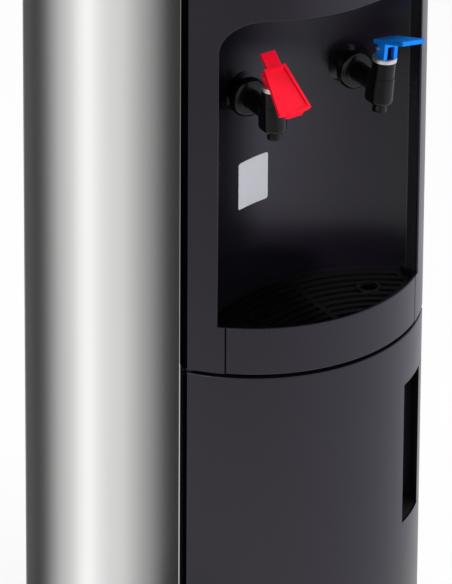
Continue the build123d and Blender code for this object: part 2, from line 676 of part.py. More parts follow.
def catch_box(gap):
    """Limits of the magnet catch in the frame's right strip."""
    middle = (BAY_OPENING / 2 + HALF - SHEET) / 2
    half = CATCH_WIDTH / 2 + gap
    z = (HANDLE_TOP + HANDLE_BOTTOM) / 2
    reach = CATCH_HEIGHT / 2 + gap
    front = STEEL_FRONT_Y - gap
    return (middle - half, middle + half), (front, FRAME_BACK_Y), (z - reach, z + reach)


def door():
    """Bow door: a hollow moulding open to the back, with the handle's opening."""
    plan = bow_plan(0, DOOR_BACK_Y)
    plan = fillet(plan.vertices().group_by(Axis.Y)[-1], HINGE_INSET)
    outer = upright(plan, DOOR_BOTTOM, DOOR_TOP)
    outer = fillet(outer.edges().filter_by(Axis.Z, reverse=True), OPENING_EDGE_R)
    hollow = upright(bow_plan(WALL, DOOR_BACK_Y + 1), DOOR_BOTTOM + WALL, DOOR_TOP - WALL)
    for z in hinge_boss_starts():
        hollow -= bar(HINGE_INSET, (HINGE_X, HINGE_Y, z), (HINGE_X, HINGE_Y, z + HINGE_BOSS_HEIGHT))
    body = outer - hollow
    body -= block((HANDLE_LEFT, HANDLE_RIGHT), (FRONT_Y - 1, HINGE_Y), (HANDLE_BOTTOM, HANDLE_TOP))
    body -= grip_grooves()
    reach = HINGE_PIN_REACH + SEAM
    body -= hinge_bore(DOOR_BOTTOM - 1, DOOR_BOTTOM + reach)
    return body - hinge_bore(DOOR_TOP - reach, DOOR_TOP + 1)


def grip_grooves():
    """Fine lines that part the grip strip from the door, above and below it."""
    skin = bow_plan(0, DOOR_BACK_Y + 1) - bow_plan(GRIP_GROOVE, DOOR_BACK_Y + 2)
    strip = skin & Pos(HANDLE_RIGHT + FAR / 2, 0) * Rectangle(FAR, 2 * FAR)
    lower = upright(strip, HANDLE_BOTTOM, HANDLE_BOTTOM + GRIP_GROOVE)
    return lower + upright(strip, HANDLE_TOP - GRIP_GROOVE, HANDLE_TOP)


def hinge_boss_starts():
    """Lower ends of the two solid columns that hold the hinge bores."""
    return DOOR_BOTTOM, DOOR_TOP - HINGE_BOSS_HEIGHT


def door_hinge_pins():
    """Two hinge pins, each with a collar that fills the door's gap."""
    place = Pos(HINGE_X, HINGE_Y)
    lower_pin = (BASE_TOP - HINGE_PIN_REACH + SEAM, DOOR_BOTTOM + HINGE_PIN_REACH)
    upper_pin = (DOOR_TOP - HINGE_PIN_REACH, UPPER_BOTTOM + 2 * WALL - SEAM)
    lower = upright(place * Circle(HINGE_PIN_R), *lower_pin)
    lower += upright(place * Circle(HINGE_COLLAR_R), BASE_TOP, DOOR_BOTTOM - SEAM)
    upper = upright(place * Circle(HINGE_PIN_R), *upper_pin)
    upper += upright(place * Circle(HINGE_COLLAR_R), DOOR_TOP + SEAM, UPPER_BOTTOM)
    return [lower, upper]


def door_inner_panel():
    """Flat panel that closes the door's back."""
    low = DOOR_BOTTOM + WALL + SEAM
    high = DOOR_TOP - WALL - SEAM
    thickness = (DOOR_BACK_Y - INNER_PANEL, DOOR_BACK_Y)
    panel = block((-INNER_PANEL_HALF, INNER_PANEL_HALF), thickness, (low, high))
    panel = fillet(panel.edges().filter_by(Axis.Y), EDGE_R)
    for z in hinge_boss_starts():
        start = (HINGE_X, HINGE_Y, z - SEAM)
        end = (HINGE_X, HINGE_Y, z + HINGE_BOSS_HEIGHT + SEAM)
        panel -= bar(HINGE_INSET + SEAM, start, end)
    return panel


def door_gasket():
    """Flat seal round the bay's opening, on the door's inner panel."""
    half = BAY_OPENING / 2 + GASKET_WIDTH
    low = BAY_LOW - GASKET_WIDTH + SEAM
    high = BAY_HIGH + GASKET_WIDTH
    back = DOOR_BACK_Y + GASKET_THICKNESS
    outer = block((-half, half), (DOOR_BACK_Y, back), (low, high))
    reach = half - GASKET_WIDTH + SEAM
    return outer - block((-reach, reach), (-FAR, FAR), (low + GASKET_WIDTH, high - GASKET_WIDTH))


def door_strike():
    """Steel strike plate for the magnet catch."""
    x, _, z = catch_box(0)
    left = max(x[0], INNER_PANEL_HALF + SEAM)
    return block((left, x[1]), (DOOR_BACK_Y - INNER_PANEL, DOOR_BACK_Y), z)


def door_catch():
    """Magnet catch set into the front frame."""
    return block(*catch_box(0))


def handle_cup():
    """Finger pocket behind the door's opening, undercut behind the grip strip."""
    floor_y = DOOR_BACK_Y - INNER_PANEL - SEAM - CUP_WALL
    outer_x = (HANDLE_LEFT - CUP_WALL, HANDLE_RIGHT + HANDLE_UNDERCUT + CUP_WALL)
    outer_z = (HANDLE_BOTTOM - CUP_WALL, HANDLE_TOP + CUP_WALL)
    outer = upright(bow_plan(WALL + SEAM, floor_y + CUP_WALL), *outer_z)
    outer &= block(outer_x, (-FAR, FAR), outer_z)
    mouth = block((HANDLE_LEFT, HANDLE_RIGHT), (-FAR, floor_y), (HANDLE_BOTTOM, HANDLE_TOP))
    behind = upright(bow_plan(WALL + SEAM + CUP_WALL, floor_y), HANDLE_BOTTOM, HANDLE_TOP)
    behind &= block((HANDLE_LEFT, HANDLE_RIGHT + HANDLE_UNDERCUT), (-FAR, FAR), (0, HEIGHT))
    return outer - mouth - behind


def tap_place(side):
    """The tap's place and lean: -1 is the hot tap, 1 is the cold one."""
    lean = HOT_LEAN if side < 0 else COLD_LEAN
    return Pos(side * TAP_X, TAP_Y, TAP_Z) * Rot(0, lean, 0)


def tap_body():
    """Tap moulding: barrel, deeper lower body, nozzle, arm and shank, bored through."""
    lower_plan = Circle(BODY_R) + Pos(0, BODY_BACK) * Circle(BODY_R)
    lower_plan += Pos(0, BODY_BACK / 2) * Rectangle(2 * BODY_R, BODY_BACK)
    lower = upright(lower_plan, BARREL_BOTTOM, BARREL_STEP)
    lower = fillet(lower.faces().sort_by(Axis.Z)[0].edges(), BARREL_BOTTOM / -4)
    body = lower + bar(BARREL_R, (0, 0, BARREL_STEP - 1), (0, 0, BARREL_TOP))
    body += bar(ARM_R, (0, 0, 0), (0, FLANGE_FRONT - SEAM, 0))
    body += bar(SHANK_R, (0, FLANGE_FRONT - 1, 0), (0, SHANK_END, 0))
    nozzle = [
        (0, NOZZLE_BOTTOM),
        (NOZZLE_R, NOZZLE_BOTTOM),
        (NOZZLE_R, NOZZLE_BOTTOM + NOZZLE_RIM),
        (NOZZLE_NECK_R, BARREL_BOTTOM + 1),
        (0, BARREL_BOTTOM + 1),
    ]
    body += turned(nozzle)
    body -= bar(OUTLET_R, (0, 0, NOZZLE_BOTTOM - 1), (0, 0, CHAMBER_FLOOR + 1))
    body -= bar(CHAMBER_R, (0, 0, CHAMBER_FLOOR), (0, 0, BARREL_TOP - BONNET))
    body -= bar(STEM_R + RUNNING_FIT, (0, 0, 0), (0, 0, BARREL_TOP + 1))
    return body - bar(INLET_R, (0, 0, 0), (0, SHANK_END + 1, 0))


def tap_flange():
    """Round wall flange with a rounded front edge."""
    length = SEAT_Y - SEAM - (TAP_Y + FLANGE_FRONT)
    points = [
        (SHANK_R + TAP_FIT, 0),
        (FLANGE_R, 0),
        (FLANGE_R, length / 2),
        (FLANGE_SHOULDER_R, length - FLANGE_BEVEL),
        (FLANGE_FACE_R, length),
        (SHANK_R + TAP_FIT, length),
    ]
    return Pos(0, SEAT_Y - SEAM - TAP_Y, 0) * Rot(90, 0, 0) * turned(points)


def tap_collar():
    """Bright ring on top of the barrel."""
    low = BARREL_TOP + SEAM
    points = [
        (COLLAR_BORE_R, low),
        (COLLAR_R, low),
        (COLLAR_R, COLLAR_TOP - 1),
        (COLLAR_R - 1, COLLAR_TOP),
        (COLLAR_BORE_R, COLLAR_TOP),
    ]
    return turned(points)


def tap_nut():
    """Hexagon nut that clamps the tap to the alcove's rear wall."""
    start = SEAT_Y + SEAT_WALL + SEAM - TAP_Y
    hexagon = Plane.XZ * (RegularPolygon(NUT_R, 6) - Circle(SHANK_R + TAP_FIT))
    return Pos(0, start, 0) * extrude(hexagon, NUT_THICKNESS, dir=(0, 1, 0))


def tap_stem():
    """Valve stem with a flat eye for the lever's pin."""
    foot_z = CHAMBER_FLOOR + SEAM + SEAL_HEIGHT / 2
    blade_low = COLLAR_TOP + 2 * SEAM
    half = HUB_WIDTH / 2 - CHEEK - SEAM
    stem = bar(STEM_R, (0, 0, foot_z), (0, 0, blade_low + 1))
    stem += block((-half, half), (-EYE_R, EYE_R), (blade_low, PIN_Z))
    stem += bar(EYE_R, (-half, 0, PIN_Z), (half, 0, PIN_Z))
    return stem - bar(PIN_R + 2 * RUNNING_FIT, (-half - 1, 0, PIN_Z), (half + 1, 0, PIN_Z))


def tap_seal():
    """Rubber seat on the stem's end."""
    low = CHAMBER_FLOOR + SEAM
    seal = bar(SEAL_R, (0, 0, low), (0, 0, low + SEAL_HEIGHT))
    seal = fillet(seal.edges().sort_by(Axis.Z)[0], 1)
    return seal - bar(STEM_R, (0, 0, low + SEAL_HEIGHT / 2), (0, 0, low + 2 * SEAL_HEIGHT))


def lever_hub(profile):
    """Two cheeks with a slot between them for the stem's eye."""
    hub = across(profile, -HUB_WIDTH / 2, HUB_WIDTH / 2)
    slot = HUB_WIDTH / 2 - CHEEK
    return hub - block((-slot, slot), (-FAR, FAR), (-PIN_RISE - 1, EYE_R + SEAM))


def pin_bore():
    """Bore for the lever's pin."""
    return bar(PIN_R + RUNNING_FIT, (-HUB_WIDTH, 0, 0), (HUB_WIDTH, 0, 0))


def plate(start, end, low, thickness, width, radius):
    """A lever's flat plate, before it is tilted, rounded at its corners."""
    slab = block((-width / 2, width / 2), (-end, -start), (low, low + thickness))
    return fillet(slab.edges().filter_by(Axis.Z), radius)


def cold_lever():
    """Cold lever: a flat paddle that rises towards the user."""
    rise = tan(radians(-COLD_SLOPE))
    middle = (COLD_PLATE_LOW + COLD_PLATE_THICKNESS / 2) / cos(radians(COLD_SLOPE))
    bottom = SEAM - PIN_RISE
    profile = [
        (HUB_BACK, bottom),
        (-HUB_FRONT, bottom),
        (-HUB_FRONT, middle + rise * HUB_FRONT),
        (HUB_BACK, middle - rise * HUB_BACK),
    ]
    length = (COLD_PLATE_START, COLD_PLATE_END)
    paddle = plate(*length, COLD_PLATE_LOW, COLD_PLATE_THICKNESS, COLD_PLATE_WIDTH, EDGE_R)
    lever = Rot(COLD_SLOPE, 0, 0) * paddle + lever_hub(profile)
    return Pos(0, 0, PIN_Z) * (lever - pin_bore())


def hot_lever():
    """Hot lever: a tongue that falls towards the user under the safety paddle."""
    fall = tan(radians(HOT_SLOPE))
    middle = (HOT_PLATE_LOW + HOT_PLATE_THICKNESS / 2) / cos(radians(HOT_SLOPE))
    bottom = SEAM - PIN_RISE
    crest = (middle - EYE_R - 2 * SEAM - 1) / fall
    profile = [
        (HUB_BACK, bottom),
        (-HUB_FRONT, bottom),
        (-HUB_FRONT, middle - fall * HUB_FRONT),
        (-crest, middle - fall * crest),
        (HUB_BACK, middle - fall * crest),
    ]
    neck = plate(0, HOT_NECK_END + 2, HOT_PLATE_LOW, HOT_PLATE_THICKNESS, HUB_WIDTH, 1)
    tongue = plate(HOT_NECK_END, HOT_PLATE_END, HOT_PLATE_LOW, HOT_PLATE_THICKNESS, HOT_PLATE_WIDTH, EDGE_R)
    lever = Rot(HOT_SLOPE, 0, 0) * (neck + tongue) + lever_hub(profile)
    return Pos(0, 0, PIN_Z) * (lever - pin_bore())


def paddle_outline(inset):
    """The safety paddle's outline: narrow at the top, wide and curved at its end."""
    top = PADDLE_TOP_WIDTH / 2 - inset
    end = PADDLE_END_WIDTH / 2 - inset
    start_y = -PADDLE_START - inset
    end_y = inset - PADDLE_END
    edges = [
        Line((-end, end_y), (-top, start_y)),
        Line((-top, start_y), (top, start_y)),
        Line((top, start_y), (end, end_y)),
        ThreePointArc((end, end_y), (0, end_y - PADDLE_BULGE), (-end, end_y)),
    ]
    return make_face(edges)


def hot_safety_paddle():
    """Child-safety paddle: rimmed plate, narrow tab and two ears on the lever's pin."""
    low = HOT_PLATE_LOW + HOT_PLATE_THICKNESS + SEAM
    high = low + PADDLE_THICKNESS
    body = upright(paddle_outline(0), low, high)
    body -= upright(paddle_outline(PADDLE_RIM), high - PADDLE_RECESS, high + 1)
    tab_low = high - PADDLE_RECESS + 1 - TAB_THICKNESS
    half = TAB_WIDTH / 2
    tab_y = (-PADDLE_START - PADDLE_RIM - 1, TAB_LENGTH - PADDLE_START)
    body += block((-half, half), tab_y, (tab_low, tab_low + TAB_THICKNESS))
    inner = HUB_WIDTH / 2 + SEAM
    for side in (-1, 1):
        span = sorted((side * inner, side * (inner + EAR)))
        body += block(span, (-EAR_R, EAR_R), (0, low + 1))
        body += bar(EAR_R, (span[0], 0, 0), (span[1], 0, 0))
    return Pos(0, 0, PIN_Z) * (Rot(HOT_SLOPE, 0, 0) * body - pin_bore())


def lever_pin():
    """Steel pin through the lever and the stem's eye."""
    return bar(PIN_R, (-PIN_LENGTH / 2, 0, PIN_Z), (PIN_LENGTH / 2, 0, PIN_Z))


def pipe_start_y():
    """Where the pipes leave the taps' shanks."""
    return TAP_Y + SHANK_END + SEAM


def inside_centre_y():
    """Where the tanks and the compressor stand, front to back."""
    return STEEL_REAR_Y - INSIDE_Y


def cold_tank():
    """Cold tank in its foam jacket."""
    low = SHELF_Z + TANK_SHELF_RISE + SHELF_THICKNESS + SEAM
    y = inside_centre_y()
    tank = bar(COLD_TANK_R, (0, y, low), (0, y, low + COLD_TANK_HEIGHT))
    return fillet(tank.edges(), BAY_CORNER_R / 2)


def hot_tank():
    """Hot tank in its foam jacket."""
    low = SHELF_Z + SHELF_THICKNESS + SEAM
    y = inside_centre_y()
    tank = bar(HOT_TANK_R, (-INSIDE_X, y, low), (-INSIDE_X, y, low + HOT_TANK_HEIGHT))
    return fillet(tank.edges(), BAY_CORNER_R / 3)


def compressor():
    """Compressor shell on its foot plate with four rubber feet."""
    low = SHELF_Z + SHELF_THICKNESS + SEAM
    y = inside_centre_y()
    half = COMPRESSOR_R + COMPRESSOR_FOOT
    plate_low = low + COMPRESSOR_FOOT
    shell = bar(COMPRESSOR_R, (0, 0, plate_low), (0, 0, plate_low + COMPRESSOR_HEIGHT))
    shell = fillet(shell.edges(), COMPRESSOR_R * 0.4)
    shell += block((-half, half), (-half, half), (plate_low, plate_low + SHEET))
    shell += bar(COMPRESSOR_R * 0.6, (0, 0, plate_low), (0, 0, plate_low + COMPRESSOR_FOOT))
    for x in (-1, 1):
        for side in (-1, 1):
            foot_x = x * (half - COMPRESSOR_FOOT)
            foot_y = side * (half - COMPRESSOR_FOOT)
            shell += bar(COMPRESSOR_FOOT, (foot_x, foot_y, low), (foot_x, foot_y, plate_low + SHEET))
    return Pos(INSIDE_X, y, 0) * shell


def water_pipes():
    """Cold pipe straight back to its tank, hot pipe down and back to its own."""
    start = pipe_start_y()
    tank_y = inside_centre_y()
    cold_end = tank_y - sqrt(COLD_TANK_R**2 - (TAP_X - PIPE_R) ** 2) - SEAM
    hot_end = tank_y - HOT_TANK_R - SEAM
    cold = bar(PIPE_R, (TAP_X, start, TAP_Z), (TAP_X, cold_end, TAP_Z))
    cold -= bar(PIPE_BORE_R, (TAP_X, start - 1, TAP_Z), (TAP_X, cold_end + 1, TAP_Z))
    hot_z = SHELF_Z + HOT_TANK_HEIGHT * 0.75
    points = [
        (-TAP_X, start, TAP_Z),
        (-TAP_X, start + PIPE_DROP_Y, TAP_Z),
        (-TAP_X, start + PIPE_DROP_Y, hot_z),
        (-TAP_X, hot_end, hot_z),
    ]
    path = FilletPolyline(*points, radius=PIPE_BEND_R)
    ring = Plane(origin=points[0], z_dir=(0, 1, 0)) * (Circle(PIPE_R) - Circle(PIPE_BORE_R))
    return [cold, sweep(ring, path=path)]


def switch_centres():
    """The two rear rocker switches, side by side."""
    return [SWITCH_X - SWITCH_PITCH / 2, SWITCH_X + SWITCH_PITCH / 2]


def switch_window(x, front, back):
    """Limits of a switch's window."""
    z = COVER_Z - SWITCH_DROP
    return (
        (x - WINDOW_WIDTH / 2, x + WINDOW_WIDTH / 2),
        (front, back),
        (z - WINDOW_HEIGHT / 2, z + WINDOW_HEIGHT / 2),
    )


def switch_plate():
    """Plate round the two rocker switches."""
    z = COVER_Z - SWITCH_DROP
    half_x = SWITCH_PITCH / 2 + WINDOW_WIDTH / 2 + SWITCH_PLATE_MARGIN
    half_z = WINDOW_HEIGHT / 2 + SWITCH_PLATE_MARGIN
    front = REAR_FACE_Y + SEAM
    thickness = (front, front + SWITCH_PLATE)
    body = block((SWITCH_X - half_x, SWITCH_X + half_x), thickness, (z - half_z, z + half_z))
    body = fillet(body.edges().filter_by(Axis.Y), EDGE_R)
    for x in switch_centres():
        body -= block(*switch_window(x, front - 1, front + 2 * SWITCH_PLATE))
    return body


def rocker(x):
    """Rocker switch: a shallow wedge on a round belly, tilted about the belly's axis."""
    half = WINDOW_HEIGHT / 2 - 2 * ROCKER_GAP
    profile = [
        (0, half),
        (ROCKER_RISE, half),
        (ROCKER_RISE / 2, 0),
        (ROCKER_RISE, -half),
        (0, -half),
    ]
    reach = WINDOW_WIDTH / 2 - ROCKER_GAP
    belly = bar(ROCKER_BELLY_R, (-reach, 0, 0), (reach, 0, 0)) - block((-FAR, FAR), (0, FAR), (-FAR, FAR))
    body = across(profile, -reach, reach) + belly
    y = REAR_FACE_Y + SEAM + SWITCH_PLATE / 2
    return Pos(x, y, COVER_Z - SWITCH_DROP) * Rot(-ROCKER_TILT, 0, 0) * body


def rear_turned(points, x, z):
    """A profile turned about an axis that points out of the rear."""
    return Pos(x, REAR_FACE_Y, z) * Rot(-90, 0, 0) * turned(points)


def cord_gland():
    """Rubber gland for the supply cord."""
    points = [
        (GLAND_BORE_R, -2 * SHEET),
        (GLAND_R, -2 * SHEET),
        (GLAND_R, SEAM),
        (GLAND_FLANGE_R, SEAM),
        (GLAND_FLANGE_R, SEAM + GLAND_FLANGE),
        (GLAND_NOSE_R, SEAM + GLAND_REACH),
        (GLAND_BORE_R, SEAM + GLAND_REACH),
    ]
    return rear_turned(points, GLAND_X, GLAND_Z)


def drain_port():
    """Drain spout through the rear panel."""
    points = [
        (DRAIN_BORE_R, -2 * SHEET),
        (DRAIN_R, -2 * SHEET),
        (DRAIN_R, DRAIN_REACH),
        (DRAIN_BORE_R, DRAIN_REACH),
    ]
    return rear_turned(points, DRAIN_X, DRAIN_Z)


def drain_cap():
    """Cap over the drain spout."""
    inner = DRAIN_R + SEAM
    outer = inner + DRAIN_CAP_WALL
    end = DRAIN_REACH + SEAM
    points = [
        (inner, 2 * SEAM),
        (outer, 2 * SEAM),
        (outer, end + DRAIN_CAP_WALL - 1),
        (outer - 1, end + DRAIN_CAP_WALL),
        (0, end + DRAIN_CAP_WALL),
        (0, end),
        (inner, end),
    ]
    return rear_turned(points, DRAIN_X, DRAIN_Z)


def condenser_tube():
    """Serpentine tube of the condenser, its ends led in through the rear panel."""
    points = [(TUBE_BEND_R - TUBE_HALF, STEEL_REAR_Y - SHEET, TUBE_BOTTOM)]
    points.append((TUBE_BEND_R - TUBE_HALF, TUBE_Y, TUBE_BOTTOM))
    for number in range(TUBE_PASSES):
        z = TUBE_BOTTOM + number * TUBE_PITCH
        side = 1 if number % 2 == 0 else -1
        if number > 0:
            points.append((-side * TUBE_HALF, TUBE_Y, z))
        if number < TUBE_PASSES - 1:
            points.append((side * TUBE_HALF, TUBE_Y, z))
    top = TUBE_BOTTOM + (TUBE_PASSES - 1) * TUBE_PITCH
    points.append((TUBE_BEND_R - TUBE_HALF, TUBE_Y, top))
    points.append((TUBE_BEND_R - TUBE_HALF, STEEL_REAR_Y - SHEET, top))
    radii = [TUBE_ENTRY_R] + [TUBE_BEND_R] * (len(points) - 4) + [TUBE_ENTRY_R]
    path = FilletPolyline(*points, radius=radii)
    return sweep(Plane(origin=points[0], z_dir=(0, 1, 0)) * Circle(TUBE_R), path=path)


def condenser_wires():
    """Upright wires along the back of the condenser tube."""
    low = TUBE_BOTTOM - 3 * TUBE_R
    high = TUBE_BOTTOM + (TUBE_PASSES - 1) * TUBE_PITCH + 3 * TUBE_R
    first = -(WIRE_COUNT - 1) / 2 * WIRE_PITCH
    wires = []
    for number in range(WIRE_COUNT):
        x = first + number * WIRE_PITCH
        wires.append(bar(WIRE_R, (x, WIRE_Y, low), (x, WIRE_Y, high)))
    return wires


def condenser_brackets():
    """Two upright bars on the rear panel that the tube passes through."""
    low = TUBE_BOTTOM - 4 * TUBE_R
    high = TUBE_BOTTOM + (TUBE_PASSES - 1) * TUBE_PITCH + 4 * TUBE_R
    brackets = []
    for side in (-1, 1):
        x = side * BRACKET_X
        half = BRACKET_THICKNESS / 2
        body = block((x - half, x + half), (REAR_FACE_Y + SEAM, TUBE_Y + TUBE_R + WIRE_R), (low, high))
        for number in range(TUBE_PASSES):
            z = TUBE_BOTTOM + number * TUBE_PITCH
            body -= bar(TUBE_R + RUNNING_FIT, (x - half - 1, TUBE_Y, z), (x + half + 1, TUBE_Y, z))
        brackets.append(body)
    return brackets


def bottle_probe():
    """Pick-up probe parked upright in the bay's rear corner, with its cap and riser."""
    y = BAY_BACK_Y - BAY_WALL - PROBE_WALL_GAP
    top = BAY_TOP - BAY_WALL - SEAM
    cap_low = BAY_TOP - PROBE_CAP_DROP
    points = [
        (0, BASE_TOP + PROBE_BOTTOM),
        (PROBE_R - 2, BASE_TOP + PROBE_BOTTOM),
        (PROBE_R, BASE_TOP + PROBE_BOTTOM + 6),
        (PROBE_R, cap_low),
        (PROBE_CAP_R, cap_low),
        (PROBE_CAP_R, cap_low + PROBE_CAP_HEIGHT),
        (PROBE_R - 1.5, cap_low + PROBE_CAP_HEIGHT + 3),
        (PROBE_R - 1.5, top),
        (0, top),
    ]
    return Pos(PROBE_X, y, 0) * turned(points)


def probe_clip():
    """Clip on the bay's back wall that holds the probe."""
    y = BAY_BACK_Y - BAY_WALL - PROBE_WALL_GAP
    z = (BAY_LOW + BAY_HIGH) / 2
    half = CLIP_WIDTH / 2
    back = BAY_BACK_Y - BAY_WALL - SEAM
    body = block((PROBE_X - half, PROBE_X + half), (y - PROBE_R / 2, back), (z, z + CLIP_HEIGHT))
    body = fillet(body.edges().filter_by(Axis.Z), EDGE_R)
    body -= bar(PROBE_R + SEAM, (PROBE_X, y, z - 1), (PROBE_X, y, z + CLIP_HEIGHT + 1))
    throat = PROBE_R - 0.5
    return body - block((PROBE_X - throat, PROBE_X + throat), (-FAR, y), (z - 1, z + CLIP_HEIGHT + 1))


def control_box():
    """Control box on the middle shelf, in front of the compressor."""
    low = SHELF_Z + SHELF_THICKNESS + SEAM
    front = inside_centre_y() - COMPRESSOR_R - 2 * COMPRESSOR_FOOT
    middle = INSIDE_X + CONTROL_BOX_WIDTH / 2
    box = Pos(middle, front - CONTROL_BOX_DEPTH / 2) * Rectangle(CONTROL_BOX_WIDTH, CONTROL_BOX_DEPTH)
    box = upright(box, low, low + CONTROL_BOX_HEIGHT)
    return fillet(box.edges().filter_by(Axis.Z), EDGE_R)


def water_pump():
    """Upright pump on the middle shelf that lifts the bottle's water."""
    low = SHELF_Z + SHELF_THICKNESS + SEAM
    x = -INSIDE_X - HOT_TANK_R / 2
    y = inside_centre_y() - 2 * HOT_TANK_R
    neck = PUMP_HEIGHT - PUMP_OUTLET
    points = [
        (0, 0),
        (PUMP_FOOT_R, 0),
        (PUMP_FOOT_R, PUMP_FOOT_HEIGHT),
        (PUMP_R, PUMP_FOOT_HEIGHT),
        (PUMP_R, neck),
        (PUMP_OUTLET_R, neck),
        (PUMP_OUTLET_R, PUMP_HEIGHT),
        (0, PUMP_HEIGHT),
    ]
    return Pos(x, y, low) * turned(points)


def parts():
    """Every sub-part under its own name."""
    named = {
        "base": base(),
        "side_panel_left": side_panel(-1),
        "side_panel_right": side_panel(1),
        "rear_panel": rear_panel(),
        "front_frame": front_frame(),
        "front_bezel": front_bezel(),
        "alcove_liner": alcove_liner(),
        "top_cover": top_cover(),
        "indicator_lenses": indicator_lenses(),
        "middle_shelf": middle_shelf(),
        "tank_shelf": tank_shelf(),
        "bay_liner": bay_liner(),
        "bottle_platform": bottle_platform(),
        "bottle_probe": bottle_probe(),
        "probe_clip": probe_clip(),
        "door": door(),
        "door_inner_panel": door_inner_panel(),
        "door_gasket": door_gasket(),
        "door_strike": door_strike(),
        "door_catch": door_catch(),
        "door_hinge_pins": door_hinge_pins(),
        "handle_cup": handle_cup(),
        "drip_tray": drip_tray(),
        "drip_grille": drip_grille(),
        "cold_tank": cold_tank(),
        "hot_tank": hot_tank(),
        "compressor": compressor(),
        "control_box": control_box(),
        "water_pump": water_pump(),
        "water_pipes": water_pipes(),
        "condenser_tube": condenser_tube(),
        "condenser_wires": condenser_wires(),
        "condenser_brackets": condenser_brackets(),
        "switch_plate": switch_plate(),
        "cord_gland": cord_gland(),
        "drain_port": drain_port(),
        "drain_cap": drain_cap(),
        "tap_flanges": [tap_place(side) * tap_flange() for side in (-1, 1)],
        "tap_collars": [tap_place(side) * tap_collar() for side in (-1, 1)],
        "tap_nuts": [tap_place(side) * tap_nut() for side in (-1, 1)],
        "hot_lever": tap_place(-1) * hot_lever(),
        "hot_safety_paddle": tap_place(-1) * hot_safety_paddle(),
        "cold_lever": tap_place(1) * cold_lever(),
    }
    for place, (x, y) in foot_places().items():
        named[f"foot_{place}"] = foot(x, y)
    for name, x in zip(("cold", "hot"), switch_centres()):
        named[f"{name}_switch_rocker"] = rocker(x)
    for name, side in (("hot", -1), ("cold", 1)):
        named[f"{name}_tap_body"] = tap_place(side) * tap_body()
        named[f"{name}_tap_stem"] = tap_place(side) * tap_stem()
        named[f"{name}_tap_seal"] = tap_place(side) * tap_seal()
        named[f"{name}_lever_pin"] = tap_place(side) * lever_pin()
    return named


os.makedirs("parts", exist_ok=True)
for node, shape in parts().items():
    solids = shape if isinstance(shape, list) else [shape]
    pieces = [solid for piece in solids for solid in piece.solids()]
    export_step(Compound(children=pieces) if len(pieces) > 1 else pieces[0], f"parts/{node}.step")
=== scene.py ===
from math import cos, pi, radians, sin, sqrt

import bmesh
import bpy
from mathutils import Matrix, Vector


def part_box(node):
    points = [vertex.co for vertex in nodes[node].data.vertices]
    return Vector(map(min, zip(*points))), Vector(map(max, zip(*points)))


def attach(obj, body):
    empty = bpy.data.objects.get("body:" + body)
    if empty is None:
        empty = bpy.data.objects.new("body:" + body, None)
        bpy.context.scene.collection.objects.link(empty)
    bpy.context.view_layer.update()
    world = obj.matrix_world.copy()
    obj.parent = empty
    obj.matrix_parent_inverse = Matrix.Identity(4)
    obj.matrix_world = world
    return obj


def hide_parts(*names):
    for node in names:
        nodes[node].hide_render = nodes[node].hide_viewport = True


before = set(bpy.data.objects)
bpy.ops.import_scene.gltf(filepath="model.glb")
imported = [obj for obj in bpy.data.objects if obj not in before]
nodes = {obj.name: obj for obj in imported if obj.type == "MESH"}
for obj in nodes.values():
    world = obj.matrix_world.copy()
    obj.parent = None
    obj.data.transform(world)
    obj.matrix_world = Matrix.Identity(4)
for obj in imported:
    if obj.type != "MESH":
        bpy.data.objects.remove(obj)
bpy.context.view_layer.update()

# ---------------------------------------------------------------------------
# The camera. A long lens stands about nine metres off, to the left of the
# cooler's front and above it, and is turned by a third of a degree.
# ---------------------------------------------------------------------------
view_from = Vector((-4.2726, -7.0483, 4.8325))
view_yaw, view_pitch, view_roll = radians(31.14), radians(27.45), radians(0.366)
focal_length, sensor_width = 505.52, 36
onward = Vector((sin(view_yaw) * cos(view_pitch), cos(view_yaw) * cos(view_pitch), -sin(view_pitch)))
level = Vector((cos(view_yaw), -sin(view_yaw), 0))
upward = level.cross(onward)
right = level * cos(view_roll) + upward * sin(view_roll)
top = upward * cos(view_roll) - level * sin(view_roll)
lens = bpy.data.cameras.new("viewpoint")
lens.lens, lens.sensor_width = focal_length, sensor_width
lens.clip_start, lens.clip_end = 0.1, 60
camera = bpy.data.objects.new("viewpoint", lens)
camera.matrix_world = Matrix.Translation(view_from) @ Matrix((right, top, -onward)).transposed().to_4x4()
bpy.context.scene.collection.objects.link(camera)
bpy.context.scene.camera = camera
bpy.context.scene.view_settings.view_transform = "Standard"


# ---------------------------------------------------------------------------
# The room. A plain pale floor and open white air under soft lamps, and a bent
# reflector card at each side, whose soft bands are what the steel mirrors.
# ---------------------------------------------------------------------------
class Wire:
    """A value on its way through a material, open to ordinary arithmetic."""

    def __init__(self, finish, socket):
        self.finish = finish
        self.socket = socket

    def maths(self, operation, *values):
        return self.finish.node("Math", {"operation": operation}, dict(enumerate(values)))

    def __add__(self, other):
        return self.maths("ADD", self, other)

    def __sub__(self, other):
        return self.maths("SUBTRACT", self, other)

    def __rsub__(self, other):
        return self.maths("SUBTRACT", other, self)

    def __mul__(self, other):
        return self.maths("MULTIPLY", self, other)

    def __truediv__(self, other):
        return self.maths("DIVIDE", self, other)

    def __or__(self, other):
        return self.maths("MAXIMUM", self, other)

    def __lt__(self, other):
        return self.maths("LESS_THAN", self, other)

    def __gt__(self, other):
        return self.maths("GREATER_THAN", self, other)

    def __abs__(self):
        return self.maths("ABSOLUTE", self)

    __radd__, __rmul__ = __add__, __mul__


